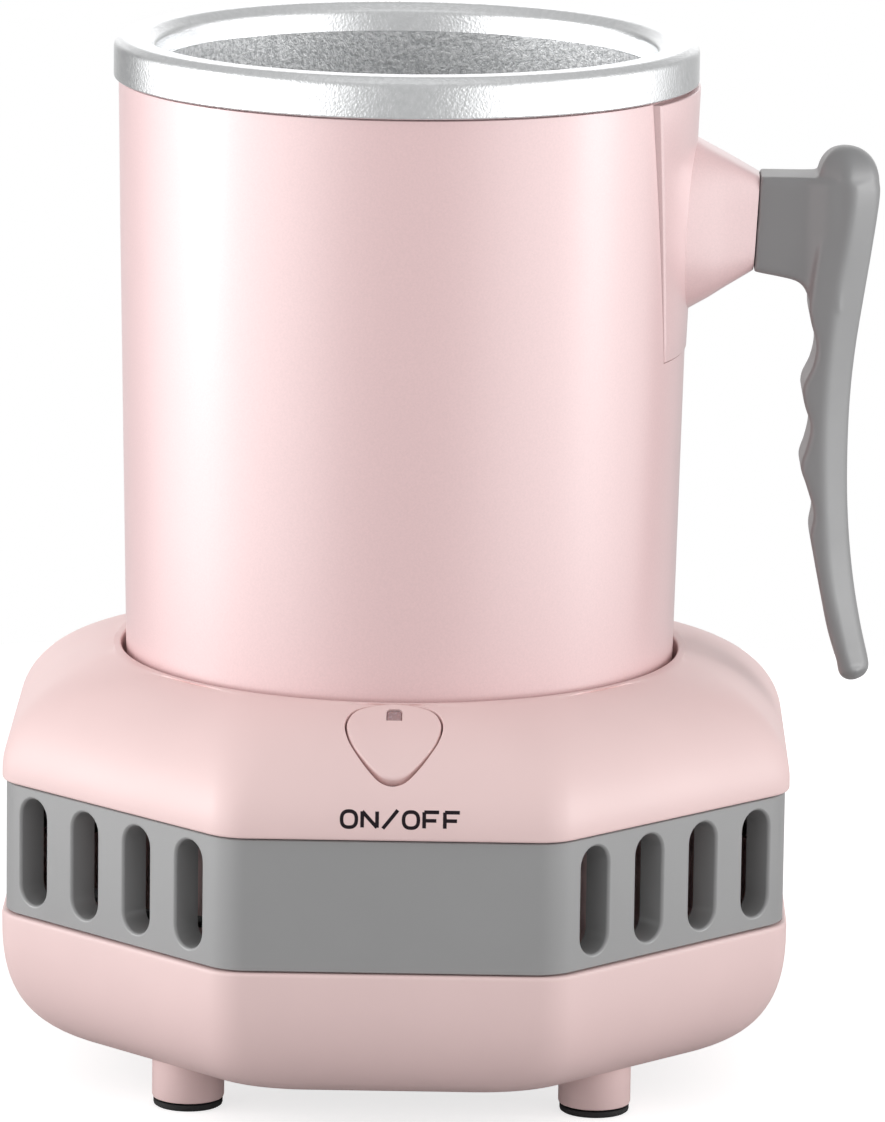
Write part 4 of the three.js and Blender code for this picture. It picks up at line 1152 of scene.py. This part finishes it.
def board_green(name):
    """Solder mask over fine tracks."""
    made = Finish(name, Coat_Weight=0.6, Coat_Roughness=0.12)
    tracks = made.waves(220, "BANDS", "X", 6.0)
    return made.dress(
        (tracks, (0.012, 0.10, 0.04), (0.03, 0.20, 0.08), 0.45, 0.55),
        (made.noise(900, 2), 0.3, 0.42),
        (tracks, 0.3, 0.00005), (made.noise(2500, 2), 0.1, 0.00002),
    )


def lens(name):
    """Tinted window, clouded by the diffuser behind it."""
    made = Finish(name, Coat_Weight=0.6, Coat_Roughness=0.08, Subsurface_Weight=0.3, Subsurface_Scale=0.001)
    return made.dress(
        (made.noise(500, 3), *shades((0.36, 0.235, 0.245), 0.06)),
        (made.noise(1200, 2), 0.22, 0.3),
        (made.noise(2200, 2), 0.08, 0.00002),
    )


def label_ink():
    """Pad-printed ink, nearly black, slightly open at the pores of the plastic."""
    made = Finish("label_ink", Specular_IOR_Level=0.2)
    return made.dress(
        (made.noise(2500, 3), (0.006, 0.003, 0.005), (0.016, 0.008, 0.013)),
        (made.noise(1800, 2), 0.55, 0.7),
        (made.noise(3000, 2), 0.2, 0.00002),
    )


CASING = (0.825, 0.615, 0.602)
MUG = (0.79, 0.55, 0.552)
BAND = (0.295, 0.295, 0.297)
GRIP = (0.225, 0.225, 0.228)
GLOSS = {
    "casing": {"Specular_IOR_Level": 0.5, "Coat_Weight": 0.12, "Coat_Roughness": 0.3},
    "band": {"Specular_IOR_Level": 0.8, "Coat_Weight": 0.6, "Coat_Roughness": 0.3},
    "grip": {"Specular_IOR_Level": 0.8, "Coat_Weight": 0.5, "Coat_Roughness": 0.35},
}

# the maker of each finish, and what it takes after the name
FINISHES = {
    "casing_pink": (moulded, CASING, 0.47, 3500, 0.00003, 0.02, GLOSS["casing"]),
    "band_grey": (moulded, BAND, 0.42, 2600, 0.00003, 0.02, GLOSS["band"]),
    "grip_grey": (moulded, GRIP, 0.46, 2200, 0.00005, 0.02, GLOSS["grip"]),
    "dark_plastic": (moulded, (0.022, 0.022, 0.024), 0.45, 2400, 0.00003, 0.15, {}),
    "screw_steel": (plated_metal, (0.55, 0.56, 0.58), (0.72, 0.73, 0.75), 0.32),
    "bearing_brass": (plated_metal, (0.62, 0.42, 0.13), (0.80, 0.60, 0.25), 0.34),
    "pad_rubber": (soft_matter, (0.018, 0.018, 0.019), 0.75, 1800, 0.00006),
    "silicone": (soft_matter, (0.30, 0.30, 0.31), 0.6, 1500, 0.00004),
    "cell_ceramic": (soft_matter, (0.80, 0.80, 0.76), 0.55, 2600, 0.00002, 0.03),
    "insulation_foam": (soft_matter, (0.78, 0.76, 0.70), 0.9, 1100, 0.00025, 0.06),
    "lead_black": (soft_matter, (0.02, 0.02, 0.021), 0.5, 2400, 0.00002),
    "lead_red": (soft_matter, (0.36, 0.02, 0.02), 0.5, 2400, 0.00002),
}
for special in (mug_pink, polished_aluminium, frosted_aluminium, machined_aluminium, cast_aluminium,
                winding_copper, board_green, lens):
    FINISHES[special.__name__] = (special,)
made_finishes = {}


def finish_for(slot):
    if slot not in made_finishes:
        maker, *settings = FINISHES[slot]
        made_finishes[slot] = maker(slot, *settings)
    return made_finishes[slot]


def finish(piece, slot, body, node):
    """Dresses a finished piece, and puts it on its body in place of its CAD node."""
    piece.data.materials.clear()
    piece.data.materials.append(finish_for(slot))
    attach(piece, body)
    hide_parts(node)


def dress_inner_parts():
    """The CAD nodes that stay take the finish of their material slot."""
    for row in frame["record"]["subparts"]:
        node = frame["nodes"][row["node"]]
        for material_slot in node.material_slots:
            material_slot.material = finish_for(row["material_slot"])


# ---- studio ----


LIT_POINT = Vector((0, 0, 0.09))  # the middle of the object, which the lights face


def camera():
    """At the viewing angle of the picture: a long lens, looking a little down."""
    target = Matrix.Translation((AXIS_X + 7.53 * MM, 0, 91.45 * MM))
    distance = 1.4472
    azimuth, elevation, roll = radians(0.452), radians(11.567), radians(0.789)
    turn = Matrix.Rotation(azimuth, 4, "Z") @ Matrix.Rotation(pi / 2 - elevation, 4, "X")
    data = bpy.data.cameras.new("camera")
    data.lens = 258.8
    data.clip_start = 0.05
    data.clip_end = 30.0
    holder = in_scene("camera", data)
    holder.matrix_world = target @ turn @ Matrix.Rotation(roll, 4, "Z") @ Matrix.Translation((0, 0, distance))
    bpy.context.scene.camera = holder


def softbox(name, place, width, height, power):
    """Rectangular area light facing the object."""
    data = bpy.data.lights.new(name, "AREA")
    data.shape = "RECTANGLE"
    data.size = width
    data.size_y = height
    data.energy = power
    holder = in_scene(name, data)
    holder.location = place
    holder.rotation_mode = "QUATERNION"
    holder.rotation_quaternion = (LIT_POINT - Vector(place)).to_track_quat("-Z", "Y")


def lights():
    softbox("left_box", (-1.5, -0.15, 0.30), 0.35, 0.8, 5.6)
    softbox("right_box", (1.5, -0.25, 0.30), 0.35, 0.8, 5.2)
    softbox("top_box", (0.0, -0.2, 1.7), 1.2, 1.0, 0.6)


# soft panels of the studio: direction, the cosine where each fades out, and its strength.
# The last one takes light away: a dark flag behind the mug on the left.
PANELS = [
    ((-0.978, -0.208, -0.04), 0.52, 1.75),
    ((0.966, -0.26, -0.04), 0.50, 1.10),
    ((-0.59, -0.81, 0.0), 0.90, 0.38),
    ((0.74, -0.67, 0.0), 0.90, 0.38),
    ((0.0, -0.15, 0.99), 0.20, 0.05),
    ((0.0, 1.0, 0.2), 0.88, 0.8),
    ((-0.75, 0.66, 0.0), 0.85, -0.22),
]
ROOM_LIGHT = 0.52


def surroundings():
    """Pale room with broad soft panels left, right and above. The picture's own background is plain white."""
    world = bpy.data.worlds.new("studio")
    bpy.context.scene.world = world
    world.use_nodes = True
    tree = world.node_tree
    new = tree.nodes.new
    direction = new("ShaderNodeTexCoord").outputs["Generated"]
    total = ROOM_LIGHT
    for towards, edge, strength in PANELS:
        facing = new("ShaderNodeVectorMath")
        facing.operation = "DOT_PRODUCT"
        wire(tree, facing, {0: direction, 1: Vector(towards).normalized()})
        fall = new("ShaderNodeMapRange")
        fall.interpolation_type = "SMOOTHSTEP"
        wire(tree, fall, {"Value": facing.outputs["Value"], "From Min": edge, "To Max": strength})
        add = wire(tree, new("ShaderNodeMath"), {0: fall.outputs["Result"], 1: total})
        total = add.outputs["Value"]
    seen = new("ShaderNodeLightPath").outputs["Is Camera Ray"]
    backdrop = wire(tree, new("ShaderNodeMix"), {"Factor": seen, "A": total, "B": 1.0})
    wire(tree, tree.nodes["Background"], {"Color": (1, 1, 1, 1), "Strength": backdrop.outputs["Result"]})


def floor():
    """Plain pale floor. It glows for the camera only, so it stays white and still throws little light up."""
    mesh = bpy.data.meshes.new("floor")
    rim = round_outline(0.36, 96)
    mesh.from_pydata([(x, y, 0) for x, y in rim], [], [tuple(range(len(rim)))])
    piece = in_scene("floor", mesh)
    made = Finish("floor_paper", Roughness=0.9, Emission_Color=(1, 1, 1, 1))
    seen = made.node("ShaderNodeLightPath", "Is Camera Ray", {})
    made.feed({
        "Base Color": made.colours(made.noise(3, 2), (0.50, 0.50, 0.50), (0.52, 0.52, 0.52)),
        "Emission Strength": made.spread(seen, 0.0, 0.73, 0.0, 1.0),
    })
    mesh.materials.append(made.material)


# ---- the whole thing ----

camera()
dress_inner_parts()
dome_surface = top_shell()
button(dome_surface)
label(dome_surface)
vent_band()
bottom_shell()
foot_pads()
inlet()
mug_shell()
mug_liner()
rim_ring()
bracket()
grip()
lights()
surroundings()
floor()
bpy.context.scene.view_settings.view_transform = "Standard"
